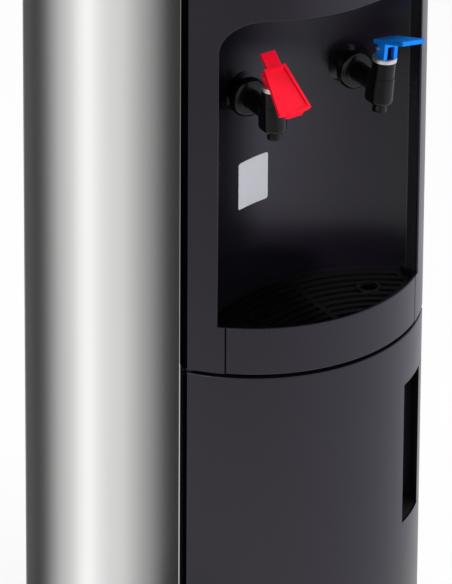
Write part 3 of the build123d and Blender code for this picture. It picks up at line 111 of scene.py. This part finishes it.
class Finish:
    """The look of one surface, or of the room, built up from nodes round its shader."""

    def __init__(self, name, shader="BsdfPrincipled", kind="Material", **fixed):
        self.holder = {"Material": bpy.data.materials, "World": bpy.data.worlds}[kind].new(name)
        self.holder.use_nodes = True
        self.tree = self.holder.node_tree
        self.tree.nodes.clear()
        self.output = self.tree.nodes.new("ShaderNodeOutput" + kind)
        self.shader = self.tree.nodes.new("ShaderNode" + shader)
        self.own = Wire(self, self.shader.outputs[0])
        self.surface(self.own)
        self.put(**fixed)

    def surface(self, shader):
        """Says which shader the surface ends up with."""
        self.connect(self.output.inputs["Surface"], shader)

    def connect(self, socket, value):
        if isinstance(value, Wire):
            self.tree.links.new(value.socket, socket)
        elif hasattr(socket.default_value, "__len__") and len(socket.default_value) == 4:
            socket.default_value = (*value[:3], 1)
        else:
            socket.default_value = value

    def put(self, **values):
        """Sets or links sockets of the shader."""
        for name, value in values.items():
            self.connect(self.shader.inputs[name.replace("_", " ")], value)
        return self

    def node(self, kind, settings=None, values=None, output=0):
        """Adds one node: its settings first, then the values or links of its sockets."""
        made = self.tree.nodes.new("ShaderNode" + kind)
        for name, value in (settings or {}).items():
            if name == "stops":
                ramp = made.color_ramp
                while len(ramp.elements) < len(value):
                    ramp.elements.new(1)
                for element, (position, colour) in zip(ramp.elements, value):
                    element.position = position
                    element.color = (*colour, 1)
            else:
                setattr(made, name, value)
        for name, value in (values or {}).items():
            self.connect(made.inputs[name], value)
        return Wire(self, made.outputs[output])

    def place(self, *stretch):
        """Object coordinates in metres, stretched along each axis."""
        where = self.node("TexCoord", output="Object")
        if not stretch:
            return where
        return self.node("Mapping", {"vector_type": "POINT"}, {"Vector": where, "Scale": stretch})

    def axis(self, index):
        """One of the object's three coordinates."""
        return self.node("SeparateXYZ", values={0: self.place()}, output=index)

    def noise(self, where, scale, detail=3.0, rough=0.5):
        """Soft noise from 0 to 1, with its scale per metre."""
        values = {"Vector": where, "Scale": scale, "Detail": detail, "Roughness": rough}
        return self.node("TexNoise", values=values)

    def fade(self, value, start, end):
        """Rises smoothly from 0 to 1 while the value goes from start to end."""
        values = {"Value": value, "From Min": start, "From Max": end}
        return self.node("MapRange", {"interpolation_type": "SMOOTHSTEP"}, values)

    def ray(self, kind):
        """1 for rays of this kind, and 0 for all others."""
        return self.node("LightPath", output=f"Is {kind} Ray")

    def between(self, first, second, amount):
        """A colour between two colours."""
        return self.node("Mix", {"data_type": "RGBA"}, {0: amount, 6: first, 7: second}, output=2)

    def either(self, first, second, amount):
        """One shader where the amount is 0, and the other where it is 1."""
        return self.node("MixShader", values={0: amount, 1: first, 2: second})

    def relief(self, height, depth):
        """Bump of the given depth in metres, where the height runs from 0 to 1."""
        return self.put(Normal=self.node("Bump", values={"Height": height, "Distance": depth}))


def mesh_piece(name, points, faces, finish=None):
    """A flat-shaded mesh object at the origin."""
    mesh = bpy.data.meshes.new(name)
    mesh.from_pydata(points, [], faces)
    mesh.validate()
    piece = bpy.data.objects.new(name, mesh)
    bpy.context.scene.collection.objects.link(piece)
    if finish:
        mesh.materials.append(finish.holder)
    return piece


floor_reach = 14
floor_grey, floor_pale = (0.78, 0.78, 0.78), (0.84, 0.84, 0.84)
lit_share = 0.8
white = (1.0, 1.0, 1.0)
mirrored_right, mirrored_far = (0.865, 0.862, 0.945), (0.4, 0.4, 0.4)
near_edge, far_edge = 0.75, 2.1
right_edge, left_edge = 1.0, -0.7

floor_finish = Finish("pale_floor", Roughness=0.9)
speckle = floor_finish.noise(floor_finish.place(), 3.0)
floor_finish.put(Base_Color=floor_finish.between(floor_grey, floor_pale, speckle))
lit_floor = floor_finish.node("Emission", values={"Color": white, "Strength": 1.0})
from_cooler = floor_finish.node("VectorMath", {"operation": "LENGTH"}, {0: floor_finish.place()}, output=1)
far_off = floor_finish.fade(from_cooler, near_edge, far_edge)
leftward = floor_finish.fade(floor_finish.axis(0), right_edge, left_edge)
mirrored_near = floor_finish.between(mirrored_right, white, leftward)
mirrored_tone = floor_finish.between(mirrored_near, mirrored_far, far_off * leftward)
mirrored_floor = floor_finish.node("Emission", values={"Color": mirrored_tone, "Strength": 1.0})
seen_share = (floor_finish.ray("Camera") | floor_finish.ray("Transmission")) * lit_share
seen_floor = floor_finish.either(floor_finish.own, lit_floor, seen_share)
floor_finish.surface(floor_finish.either(seen_floor, mirrored_floor, floor_finish.ray("Glossy")))
corners = [(x * floor_reach, y * floor_reach, 0) for x, y in ((-1, -1), (1, -1), (1, 1), (-1, 1))]
floor = mesh_piece("floor", corners, [(0, 1, 2, 3)], floor_finish)

room = Finish("room", "Background", "World", Color=(0.9, 0.93, 1.0), Strength=0.25)
open_air = room.node("Background", values={"Color": (0.8, 0.8, 0.8), "Strength": 1.0})
shows_open_air = room.ray("Camera") | room.ray("Glossy") | room.ray("Transmission")
room.surface(room.either(room.own, open_air, shows_open_air))
bpy.context.scene.world = room.holder


def soft_lamp(name, place, towards, width, height, watts, mirrored=False):
    """A rectangular soft box that points at a spot on the cooler."""
    light = bpy.data.lights.new(name, "AREA")
    light.shape, light.size, light.size_y = "RECTANGLE", width, height
    light.energy = watts
    lamp = bpy.data.objects.new(name, light)
    lamp.location = place
    lamp.rotation_mode = "QUATERNION"
    lamp.rotation_quaternion = (Vector(towards) - Vector(place)).to_track_quat("-Z", "Y")
    lamp.visible_camera, lamp.visible_glossy = False, mirrored
    bpy.context.scene.collection.objects.link(lamp)


soft_lamp("front_box", (1.3, -2.8, 1.2), (0, -0.1, 0.75), 1.6, 1.4, 74)
soft_lamp("left_box", (-2.6, -1.4, 1.5), (-0.1, 0, 0.7), 0.8, 1.6, 14, mirrored=True)
soft_lamp("right_box", (2.8, -0.6, 1.6), (0.1, 0, 0.7), 1.0, 2.0, 30)
soft_lamp("rear_box", (0.4, 2.6, 1.9), (0, 0.1, 0.7), 1.8, 1.4, 34)
soft_lamp("top_box", (0, 0.2, 3.0), (0, 0, 1.0), 1.6, 1.6, 40)

# What a side mirrors, from its rear edge (0) to its front edge (1), as brightness.
left_bands = [(0.0, 0.3), (0.13, 0.11), (0.17, 0.05), (0.21, 0.18), (0.29, 0.7),
              (0.35, 0.92), (0.4, 1.32), (0.45, 1.5), (0.5, 1.2), (0.57, 1.0),
              (0.64, 0.97), (0.75, 0.57), (0.86, 0.26), (0.9, 0.05), (1.0, 0.04)]
right_bands = [(0.0, 0.3), (0.12, 0.13), (0.3, 0.95), (0.43, 1.5),
               (0.65, 0.9), (0.8, 0.5), (0.9, 0.3), (1.0, 0.95)]
brightest = 1.5
side_low, side_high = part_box("side_panel_left")
side_length, side_middle = side_high.y - side_low.y, (side_high.y + side_low.y) / 2
# The bands fan out over the card: their span beside the cooler, as a share of the
# side's length, and how much it grows with each metre outward.
fan_start, fan_growth = 0.54, 0.91
card_turn = radians(58.9)
card_half, card_inner, card_outer, card_low, card_high = 0.4, -0.25, 0.42, 0.004, 2.2
card_points = [(-card_half, card_inner, card_low), (card_half, card_inner, card_low),
               (card_half, card_outer, card_low), (-card_half, card_outer, card_low),
               (card_half, card_outer, card_high), (-card_half, card_outer, card_high)]
for side, name, card_bands in ((-1, "left_card", left_bands), (1, "right_card", right_bands)):
    bands = Finish(name, "Emission", Strength=brightest)
    across_side = bands.axis(0) / (fan_start + bands.axis(1) * fan_growth) / side_length + 0.5
    stops = [(position, (bright / brightest,) * 3) for position, bright in card_bands]
    bands.put(Color=bands.node("ValToRGB", {"stops": stops}, {0: across_side}))
    card = mesh_piece(name, card_points, [(0, 1, 2, 3), (3, 2, 4, 5)], bands)
    outward = Vector((side * cos(card_turn), sin(card_turn), 0))
    rearward = Vector((side * sin(card_turn), -cos(card_turn), 0))
    turned = Matrix((rearward, outward, (0, 0, 1))).transposed().to_4x4()
    card.matrix_world = Matrix.Translation((side * side_low.x * -1, side_middle, 0)) @ turned
    card.visible_camera = card.visible_diffuse = card.visible_shadow = card.visible_transmission = False


# ---------------------------------------------------------------------------
# The shelves. Folded zinc-coated sheet that carries the tanks and the works
# between the sides; the door's strike plate is of the same stock.
# ---------------------------------------------------------------------------
def dress(finish, *names):
    """Gives CAD nodes their finish."""
    for name in names:
        mesh = nodes[name]
        if not mesh.material_slots:
            mesh.data.materials.append(None)
        for slot in mesh.material_slots:
            slot.link = "OBJECT"
            slot.material = finish.holder


zinc = Finish("zinc_coated_steel", Metallic=1.0)
spangle = zinc.node("TexVoronoi", {"feature": "F1"}, {"Vector": zinc.place(), "Scale": 90.0}, output="Color")
flake = zinc.node("SeparateXYZ", values={0: spangle})
zinc.put(Base_Color=zinc.between((0.42, 0.43, 0.44), (0.6, 0.61, 0.62), flake))
zinc.put(Roughness=0.35 + flake * 0.2)
dress(zinc, "middle_shelf", "tank_shelf", "door_strike")

# ---------------------------------------------------------------------------
# The sides. Thin stainless sheet, crowned a little and wrapped round the rear
# corners, brushed upright and left bare.
# ---------------------------------------------------------------------------
steel = Finish("brushed_stainless", Metallic=1.0, Anisotropic=0.5, Anisotropic_Rotation=0.25)
hairline = steel.noise(steel.place(260, 260, 1.6), 8.0, 4.0, 0.7)
cloudy = steel.noise(steel.place(1, 1, 0.35), 7.0, 2.0)
steel_tone = hairline * 0.5 + cloudy * 0.5
steel.put(Base_Color=steel.between((0.60, 0.60, 0.595), (0.67, 0.67, 0.665), steel_tone))
steel.put(Roughness=0.08 + hairline * 0.04)
steel.relief(hairline, 0.000004)
dress(steel, "side_panel_left", "side_panel_right")


# ---------------------------------------------------------------------------
# The black mouldings. Plain black ABS with a light grain: base, frame, cover,
# the door's inner panel, the handle's cup and the small parts beside them.
# ---------------------------------------------------------------------------
def moulded(name, dark, light, rough, grain=0.000012, scale=1400.0, **fixed):
    """Moulded plastic or paint: faint clouding of its colour and a fine even grain."""
    finish = Finish(name, **fixed)
    cloud = finish.noise(finish.place(), 9.0, 2.0)
    pores = finish.noise(finish.place(), scale, 2.0, 0.6)
    finish.put(Base_Color=finish.between(dark, light, cloud), Roughness=rough - 0.04 + cloud * 0.08)
    return finish.relief(pores, grain)


black_moulding = moulded("black_moulding", (0.006, 0.006, 0.0065), (0.009, 0.009, 0.0095), 0.5)
dress(black_moulding, "base", "front_frame", "door_inner_panel", "handle_cup", "bottle_platform",
      "switch_plate", "water_pump", "top_cover", "door_hinge_pins")


# ---------------------------------------------------------------------------
# The front mouldings. Charcoal ABS with a fine spark-eroded grain: bow front,
# tray and door. Their returns beside the steel and the joints at the tray's
# ends carry painted shade, nearly black and matte.
# ---------------------------------------------------------------------------
def paint_shade_where(finish, amount):
    """Paints shade onto part of a finish: takes the shine off and leaves it nearly black there."""
    values = {"Base Color": (0.0015, 0.0015, 0.002), "Roughness": 1.0, "Specular IOR Level": 0.0}
    finish.surface(finish.either(finish.own, finish.node("BsdfPrincipled", values=values), amount))


charcoal_tint = (0.98, 0.955, 1.0)
front_half_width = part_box("front_bezel")[1].x
tray_low, tray_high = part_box("drip_tray")
return_depth, return_front = 0.001, -0.1497
joint_middle, joint_half, joint_back = tray_high.x + 0.00015, 0.0007, -0.17
joint_low, joint_high = tray_low.z + 0.00025, tray_high.z - 0.0001

charcoal = moulded("charcoal_moulding", (0.005, 0.0035, 0.008), (0.007, 0.005, 0.0105), 0.33,
                   Specular_Tint=charcoal_tint)
from_middle, frontward, height_up = abs(charcoal.axis(0)), charcoal.axis(1), charcoal.axis(2)
# Painted shade: the flat returns beside the steel and the joints at the tray's ends are made nearly black
# and matte.
return_shade = (from_middle > front_half_width - return_depth) * (frontward > return_front)
joint_shade = (abs(from_middle - joint_middle) < joint_half) * (frontward < joint_back)
joint_shade = joint_shade * (height_up > joint_low) * (height_up < joint_high)
paint_shade_where(charcoal, return_shade | joint_shade)
dress(charcoal, "front_bezel", "drip_tray", "door")

# ---------------------------------------------------------------------------
# The alcove. One deep charcoal moulding behind the front, with a round rear
# wall, a roof and short side walls. Painted light makes its side walls lighter,
# and painted shade makes its left end and its foot darker.
# ---------------------------------------------------------------------------
liner_thickness, side_margin = 0.003, 0.0009
inner_half_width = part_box("alcove_liner")[1].x - liner_thickness
left_start, left_full, left_shade_share = -0.025, -0.075, 0.6
foot_right_end, foot_left_start, foot_shade_share = 0.06, 0.02, 0.75
foot_slant, foot_top, foot_bottom = 0.366, 0.668, 0.642

liner = moulded("alcove_moulding", (0.004, 0.003, 0.006), (0.0055, 0.004, 0.008), 0.27,
                Specular_Tint=charcoal_tint)
across, height_up = liner.axis(0), liner.axis(2)
# Painted light: the short side walls get a lighter colour than the rest of the liner.
painted_light_walls = abs(across) > inner_half_width - side_margin
liner.put(Base_Color=liner.between((0.0045, 0.0033, 0.007), (0.026, 0.024, 0.028), painted_light_walls))
# Painted shade: the liner's left end and its foot are made nearly black and matte.
left_end_shade = liner.fade(across, left_start, left_full) * left_shade_share
foot = liner.fade(height_up + across * foot_slant, foot_top, foot_bottom)
left_foot_shade = foot * liner.fade(across, foot_right_end, foot_left_start) * foot_shade_share
paint_shade_where(liner, left_end_shade | left_foot_shade)
dress(liner, "alcove_liner")

# ---------------------------------------------------------------------------
# The grille. A black moulded plate with curved slots, which lies loose in the
# tray, with painted shade darkening it towards its left end.
# ---------------------------------------------------------------------------
grille_start, grille_full, grille_shade_share = 0.02, -0.03, 0.85
grille_plastic = moulded("grille_moulding", (0.004, 0.004, 0.0045), (0.007, 0.007, 0.0075), 0.3)
# Painted shade: the grille turns nearly black and matte towards its left end.
grille_left_shade = grille_plastic.fade(grille_plastic.axis(0), grille_start, grille_full)
paint_shade_where(grille_plastic, grille_left_shade * grille_shade_share)
dress(grille_plastic, "drip_grille")

# ---------------------------------------------------------------------------
# The taps. Black acetal bodies with a moulded gloss, a bright plated ring on
# each barrel, and steel pins.
# ---------------------------------------------------------------------------
acetal = moulded("black_acetal", (0.002, 0.002, 0.0025), (0.003, 0.003, 0.0035), 0.2,
                 grain=0.000004, scale=600, Specular_IOR_Level=0.28)
dress(acetal, "hot_tap_body", "cold_tap_body", "hot_tap_stem", "cold_tap_stem")

plated = Finish("bright_plating", Metallic=1.0)
wear = plated.noise(plated.place(), 160.0, 4.0)
plated.put(Base_Color=plated.between((0.74, 0.71, 0.67), (0.84, 0.82, 0.79), wear))
plated.put(Roughness=0.36 + wear * 0.12)
plated.relief(wear, 0.00001)
dress(plated, "tap_collars", "hot_lever_pin", "cold_lever_pin")

# ---------------------------------------------------------------------------
# The taps' wall flanges. Turned acetal discs with an eased front edge, each on
# a neck that seats against the alcove's rear wall, round its tap's arm.
# ---------------------------------------------------------------------------
flange_radius, neck_radius, shank_hole, arm_hole = 0.0227, 0.014, 0.0083, 0.0114
seat_y, disc_back, disc_front, arm_hole_end = -0.1124, -0.1322, -0.1434, -0.1303
back_bevel, back_bevel_depth = 0.0005, 0.0006
flange_turns, crease_angle = 72, radians(32)
flange_low, flange_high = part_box("tap_flanges")
tap_x, tap_z = flange_high.x - flange_radius, (flange_low.z + flange_high.z) / 2

# The eased front edge, as radius and y from the rim to the flat face.
eased_edge = [(flange_radius, -0.1381), (0.0223, -0.1397), (0.0213, -0.1412),
              (0.0198, -0.1424), (0.018, -0.1432), (0.016, disc_front)]
profile = [(shank_hole, seat_y), (neck_radius, seat_y), (neck_radius, disc_back),
           (flange_radius - back_bevel, disc_back), (flange_radius, disc_back - back_bevel_depth)]
profile += eased_edge + [(arm_hole, disc_front), (arm_hole, arm_hole_end), (shank_hole, arm_hole_end)]

shape = bmesh.new()
for side in (-1, 1):
    ring = [shape.verts.new((side * tap_x + radius, y, tap_z)) for radius, y in profile]
    edges = [shape.edges.new((ring[i - 1], ring[i])) for i in range(len(ring))]
    bmesh.ops.spin(shape, geom=ring + edges, cent=(side * tap_x, 0, tap_z), axis=(0, 1, 0),
                   angle=2 * pi, steps=flange_turns, use_merge=True)
bmesh.ops.remove_doubles(shape, verts=shape.verts, dist=0.00001)
bmesh.ops.recalc_face_normals(shape, faces=shape.faces)
flanges = mesh_piece("wall_flanges", [], [], acetal)
shape.to_mesh(flanges.data)
shape.free()
flanges.data.polygons.foreach_set("use_smooth", [True] * len(flanges.data.polygons))
flanges.data.set_sharp_from_angle(angle=crease_angle)
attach(flanges, "case")
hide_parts("tap_flanges")

# ---------------------------------------------------------------------------
# The levers. Coloured polypropylene, red with a child-safety paddle for hot
# and blue for cold; the rear rocker switches are in the same two colours.
# ---------------------------------------------------------------------------
red = moulded("red_polypropylene", (0.88, 0.003, 0.022), (0.97, 0.005, 0.03), 0.38,
              grain=0.00001, scale=500, Specular_IOR_Level=0.3)
dress(red, "hot_lever", "hot_safety_paddle", "hot_switch_rocker")
blue = moulded("blue_polypropylene", (0.0, 0.16, 0.62), (0.0, 0.19, 0.7), 0.38,
               grain=0.00001, scale=500, Specular_IOR_Level=0.2)
dress(blue, "cold_lever", "cold_switch_rocker")

# ---------------------------------------------------------------------------
# The bottle bay and the water's way. Pale, slightly waxy nylon mouldings: the
# bay's liner, probe, pipes, tap nuts and drain port, and the control box.
# ---------------------------------------------------------------------------
nylon = moulded("pale_nylon", (0.6, 0.59, 0.56), (0.68, 0.67, 0.64), 0.45)
dress(nylon, "tap_nuts", "water_pipes", "drain_port", "bottle_probe", "probe_clip", "bay_liner",
      "control_box")

# ---------------------------------------------------------------------------
# The tanks. Each sits in a jacket of cream insulating foam, foamed in place,
# with an open matt skin.
# ---------------------------------------------------------------------------
foam = moulded("insulating_foam", (0.62, 0.6, 0.53), (0.74, 0.72, 0.66), 0.9, grain=0.0006, scale=120)
dress(foam, "cold_tank", "hot_tank")

# ---------------------------------------------------------------------------
# The back. Powder-coated sheet with vent slots, and the cooling circuit in the
# same black paint: compressor, condenser and its brackets.
# ---------------------------------------------------------------------------
paint = moulded("black_paint", (0.008, 0.008, 0.0085), (0.012, 0.012, 0.0125), 0.36,
                grain=0.00003, scale=260)
dress(paint, "rear_panel", "compressor", "condenser_tube", "condenser_wires", "condenser_brackets")

# ---------------------------------------------------------------------------
# The feet and the seals. Black rubber, matt and slightly open: feet, gasket,
# cord gland, drain cap, the taps' seat seals and the door's catch.
# ---------------------------------------------------------------------------
rubber = moulded("black_rubber", (0.012, 0.012, 0.012), (0.018, 0.018, 0.018), 0.75,
                 grain=0.00004, scale=500)
dress(rubber, "foot_front_left", "foot_front_right", "foot_rear_left", "foot_rear_right", "door_gasket",
      "cord_gland", "drain_cap", "hot_tap_seal", "cold_tap_seal", "door_catch")

# ---------------------------------------------------------------------------
# The indicator lenses. Three small frosted windows of clear plastic, pressed
# into the cover's slope.
# ---------------------------------------------------------------------------
lens_plastic = moulded("clear_lens", (0.35, 0.36, 0.36), (0.42, 0.43, 0.43), 0.15,
                       grain=0.00001, scale=600)
dress(lens_plastic, "indicator_lenses")

# ---------------------------------------------------------------------------
# The screws. Pan heads with a cross recess, zinc plated: round the rear panel,
# through the cover's rear edge and down the door's back.
# ---------------------------------------------------------------------------
head_sides, top_share, slot_share = 20, 0.66, 0.24
screw_tree = bpy.data.node_groups.new("screw_heads", "GeometryNodeTree")
for socket_name, kind in (("Places", "NodeSocketGeometry"), ("Head radius", "NodeSocketFloat"),
                          ("Head height", "NodeSocketFloat"), ("Finish", "NodeSocketMaterial")):
    screw_tree.interface.new_socket(socket_name, in_out="INPUT", socket_type=kind)
screw_tree.interface.new_socket("Heads", in_out="OUTPUT", socket_type="NodeSocketGeometry")


def step(kind, settings=None, values=None):
    """Adds one node to the screws' tree: settings, then values or links by socket name."""
    made = screw_tree.nodes.new(kind)
    for key, value in (settings or {}).items():
        setattr(made, key, value)
    for key, value in (values or {}).items():
        if isinstance(value, bpy.types.NodeSocket):
            screw_tree.links.new(value, made.inputs[key])
        else:
            made.inputs[key].default_value = value
    return made


def share_of(socket, share):
    """A share of a length."""
    return step("ShaderNodeMath", {"operation": "MULTIPLY"}, {0: socket, 1: share}).outputs[0]


given = step("NodeGroupInput").outputs
head_radius, head_height = given["Head radius"], given["Head height"]
head = step("GeometryNodeMeshCone", {"fill_type": "NGON"}, {
    "Vertices": head_sides, "Radius Top": share_of(head_radius, top_share),
    "Radius Bottom": head_radius, "Depth": head_height})
slot_width = share_of(head_radius, slot_share)
arms = step("GeometryNodeJoinGeometry")
for arm_x, arm_y in ((head_radius, slot_width), (slot_width, head_radius)):
    size = step("ShaderNodeCombineXYZ", values={"X": arm_x, "Y": arm_y, "Z": head_height}).outputs[0]
    lift = step("ShaderNodeCombineXYZ", values={"Z": head_height}).outputs[0]
    arm = step("GeometryNodeMeshCube", values={"Size": size}).outputs["Mesh"]
    lifted = step("GeometryNodeTransform", values={"Geometry": arm, "Translation": lift})
    screw_tree.links.new(lifted.outputs["Geometry"], arms.inputs["Geometry"])
recessed = step("GeometryNodeMeshBoolean", {"operation": "DIFFERENCE", "solver": "MANIFOLD"}, {
    "Mesh 1": head.outputs["Mesh"], "Mesh 2": arms.outputs["Geometry"]})
facing = step("FunctionNodeAlignRotationToVector", {"axis": "Z"}, {"Vector": (0.0, 1.0, 0.0)})
placed = step("GeometryNodeInstanceOnPoints", values={
    "Points": given["Places"], "Instance": recessed.outputs["Mesh"], "Rotation": facing.outputs["Rotation"]})
solid = step("GeometryNodeRealizeInstances", values={"Geometry": placed.outputs["Instances"]})
plated_heads = step("GeometryNodeSetMaterial", values={
    "Geometry": solid.outputs["Geometry"], "Material": given["Finish"]})
screw_tree.links.new(plated_heads.outputs["Geometry"], step("NodeGroupOutput").inputs["Heads"])
screw_inputs = {item.name: item.identifier for item in screw_tree.interface.items_tree
                if item.in_out == "INPUT"}


def screw_set(name, body, places, radius, height):
    """Screw heads that face the rear, as one plain mesh on a body."""
    seed = mesh_piece(name + "_places", places, [])
    maker = seed.modifiers.new("screw_heads", "NODES")
    maker.node_group = screw_tree
    maker[screw_inputs["Head radius"]] = radius
    maker[screw_inputs["Head height"]] = height
    maker[screw_inputs["Finish"]] = zinc.holder
    mesh = bpy.data.meshes.new_from_object(seed.evaluated_get(bpy.context.evaluated_depsgraph_get()))
    seed.modifiers.remove(maker)
    bpy.data.objects.remove(seed)
    mesh.materials.clear()
    mesh.materials.append(zinc.holder)
    mesh.polygons.foreach_set("material_index", [0] * len(mesh.polygons))
    heads = bpy.data.objects.new(name, mesh)
    bpy.context.scene.collection.objects.link(heads)
    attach(heads, body)


rear_skin, cover_skin, door_skin = (
    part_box(name)[1].y for name in ("rear_panel", "top_cover", "door_inner_panel"))
rear_column, rear_rows = 0.111, (0.03, 0.2, 0.37, 0.53, 0.69, 0.85, 1.015)
cover_columns, cover_row = (-0.1, 0, 0.1), 1.043
door_column, door_rows = 0.131, (0.075, 0.19, 0.31, 0.43, 0.53)
screw_set("rear_panel_screws", "case",
          [(side * rear_column, rear_skin, z) for side in (-1, 1) for z in rear_rows],
          radius=0.0038, height=0.0017)
screw_set("cover_screws", "case",
          [(x, cover_skin, cover_row) for x in cover_columns],
          radius=0.0034, height=0.0015)
screw_set("door_screws", "door",
          [(side * door_column, door_skin, z) for side in (-1, 1) for z in door_rows],
          radius=0.0034, height=0.0013)

# ---------------------------------------------------------------------------
# The plate on the alcove's rear wall. A thin pale self-adhesive plate, left
# bare, which follows the wall's curve.
# ---------------------------------------------------------------------------
plate_left, plate_right, plate_low, plate_high = -0.0705, -0.026, 0.7244, 0.7816
plate_corner, plate_thickness, plate_overlap, plate_columns = 0.003, 0.0003, 0.00005, 28
wall_radius = 0.201
wall_centre_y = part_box("alcove_liner")[1].y - liner_thickness - wall_radius
half_width = (plate_right - plate_left) / 2
points, faces = [], []
for i in range(plate_columns + 1):
    x_local = -half_width * cos(pi * i / plate_columns)
    x = (plate_left + plate_right) / 2 + x_local
    into_corner = max(0.0, abs(x_local) - (half_width - plate_corner))
    shrink = plate_corner - sqrt(max(0.0, plate_corner**2 - into_corner**2))
    for z in (plate_low + shrink, plate_high - shrink):
        for lift in (0.0, plate_thickness):
            radius = wall_radius - plate_overlap - lift
            points.append((x, wall_centre_y + sqrt(radius**2 - x**2), z))
for i in range(plate_columns):
    a, b = 4 * i, 4 * i + 4
    faces += [(a + 1, b + 1, b + 3, a + 3), (a, a + 2, b + 2, b),
              (a, b, b + 1, a + 1), (a + 2, a + 3, b + 3, b + 2)]
last = 4 * plate_columns
faces += [(0, 1, 3, 2), (last, last + 2, last + 3, last + 1)]
vinyl = moulded("pale_vinyl", (0.4, 0.405, 0.44), (0.46, 0.465, 0.5), 0.35, grain=0.00001, scale=700)
plate = mesh_piece("wall_plate", points, faces, vinyl)
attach(plate, "case")
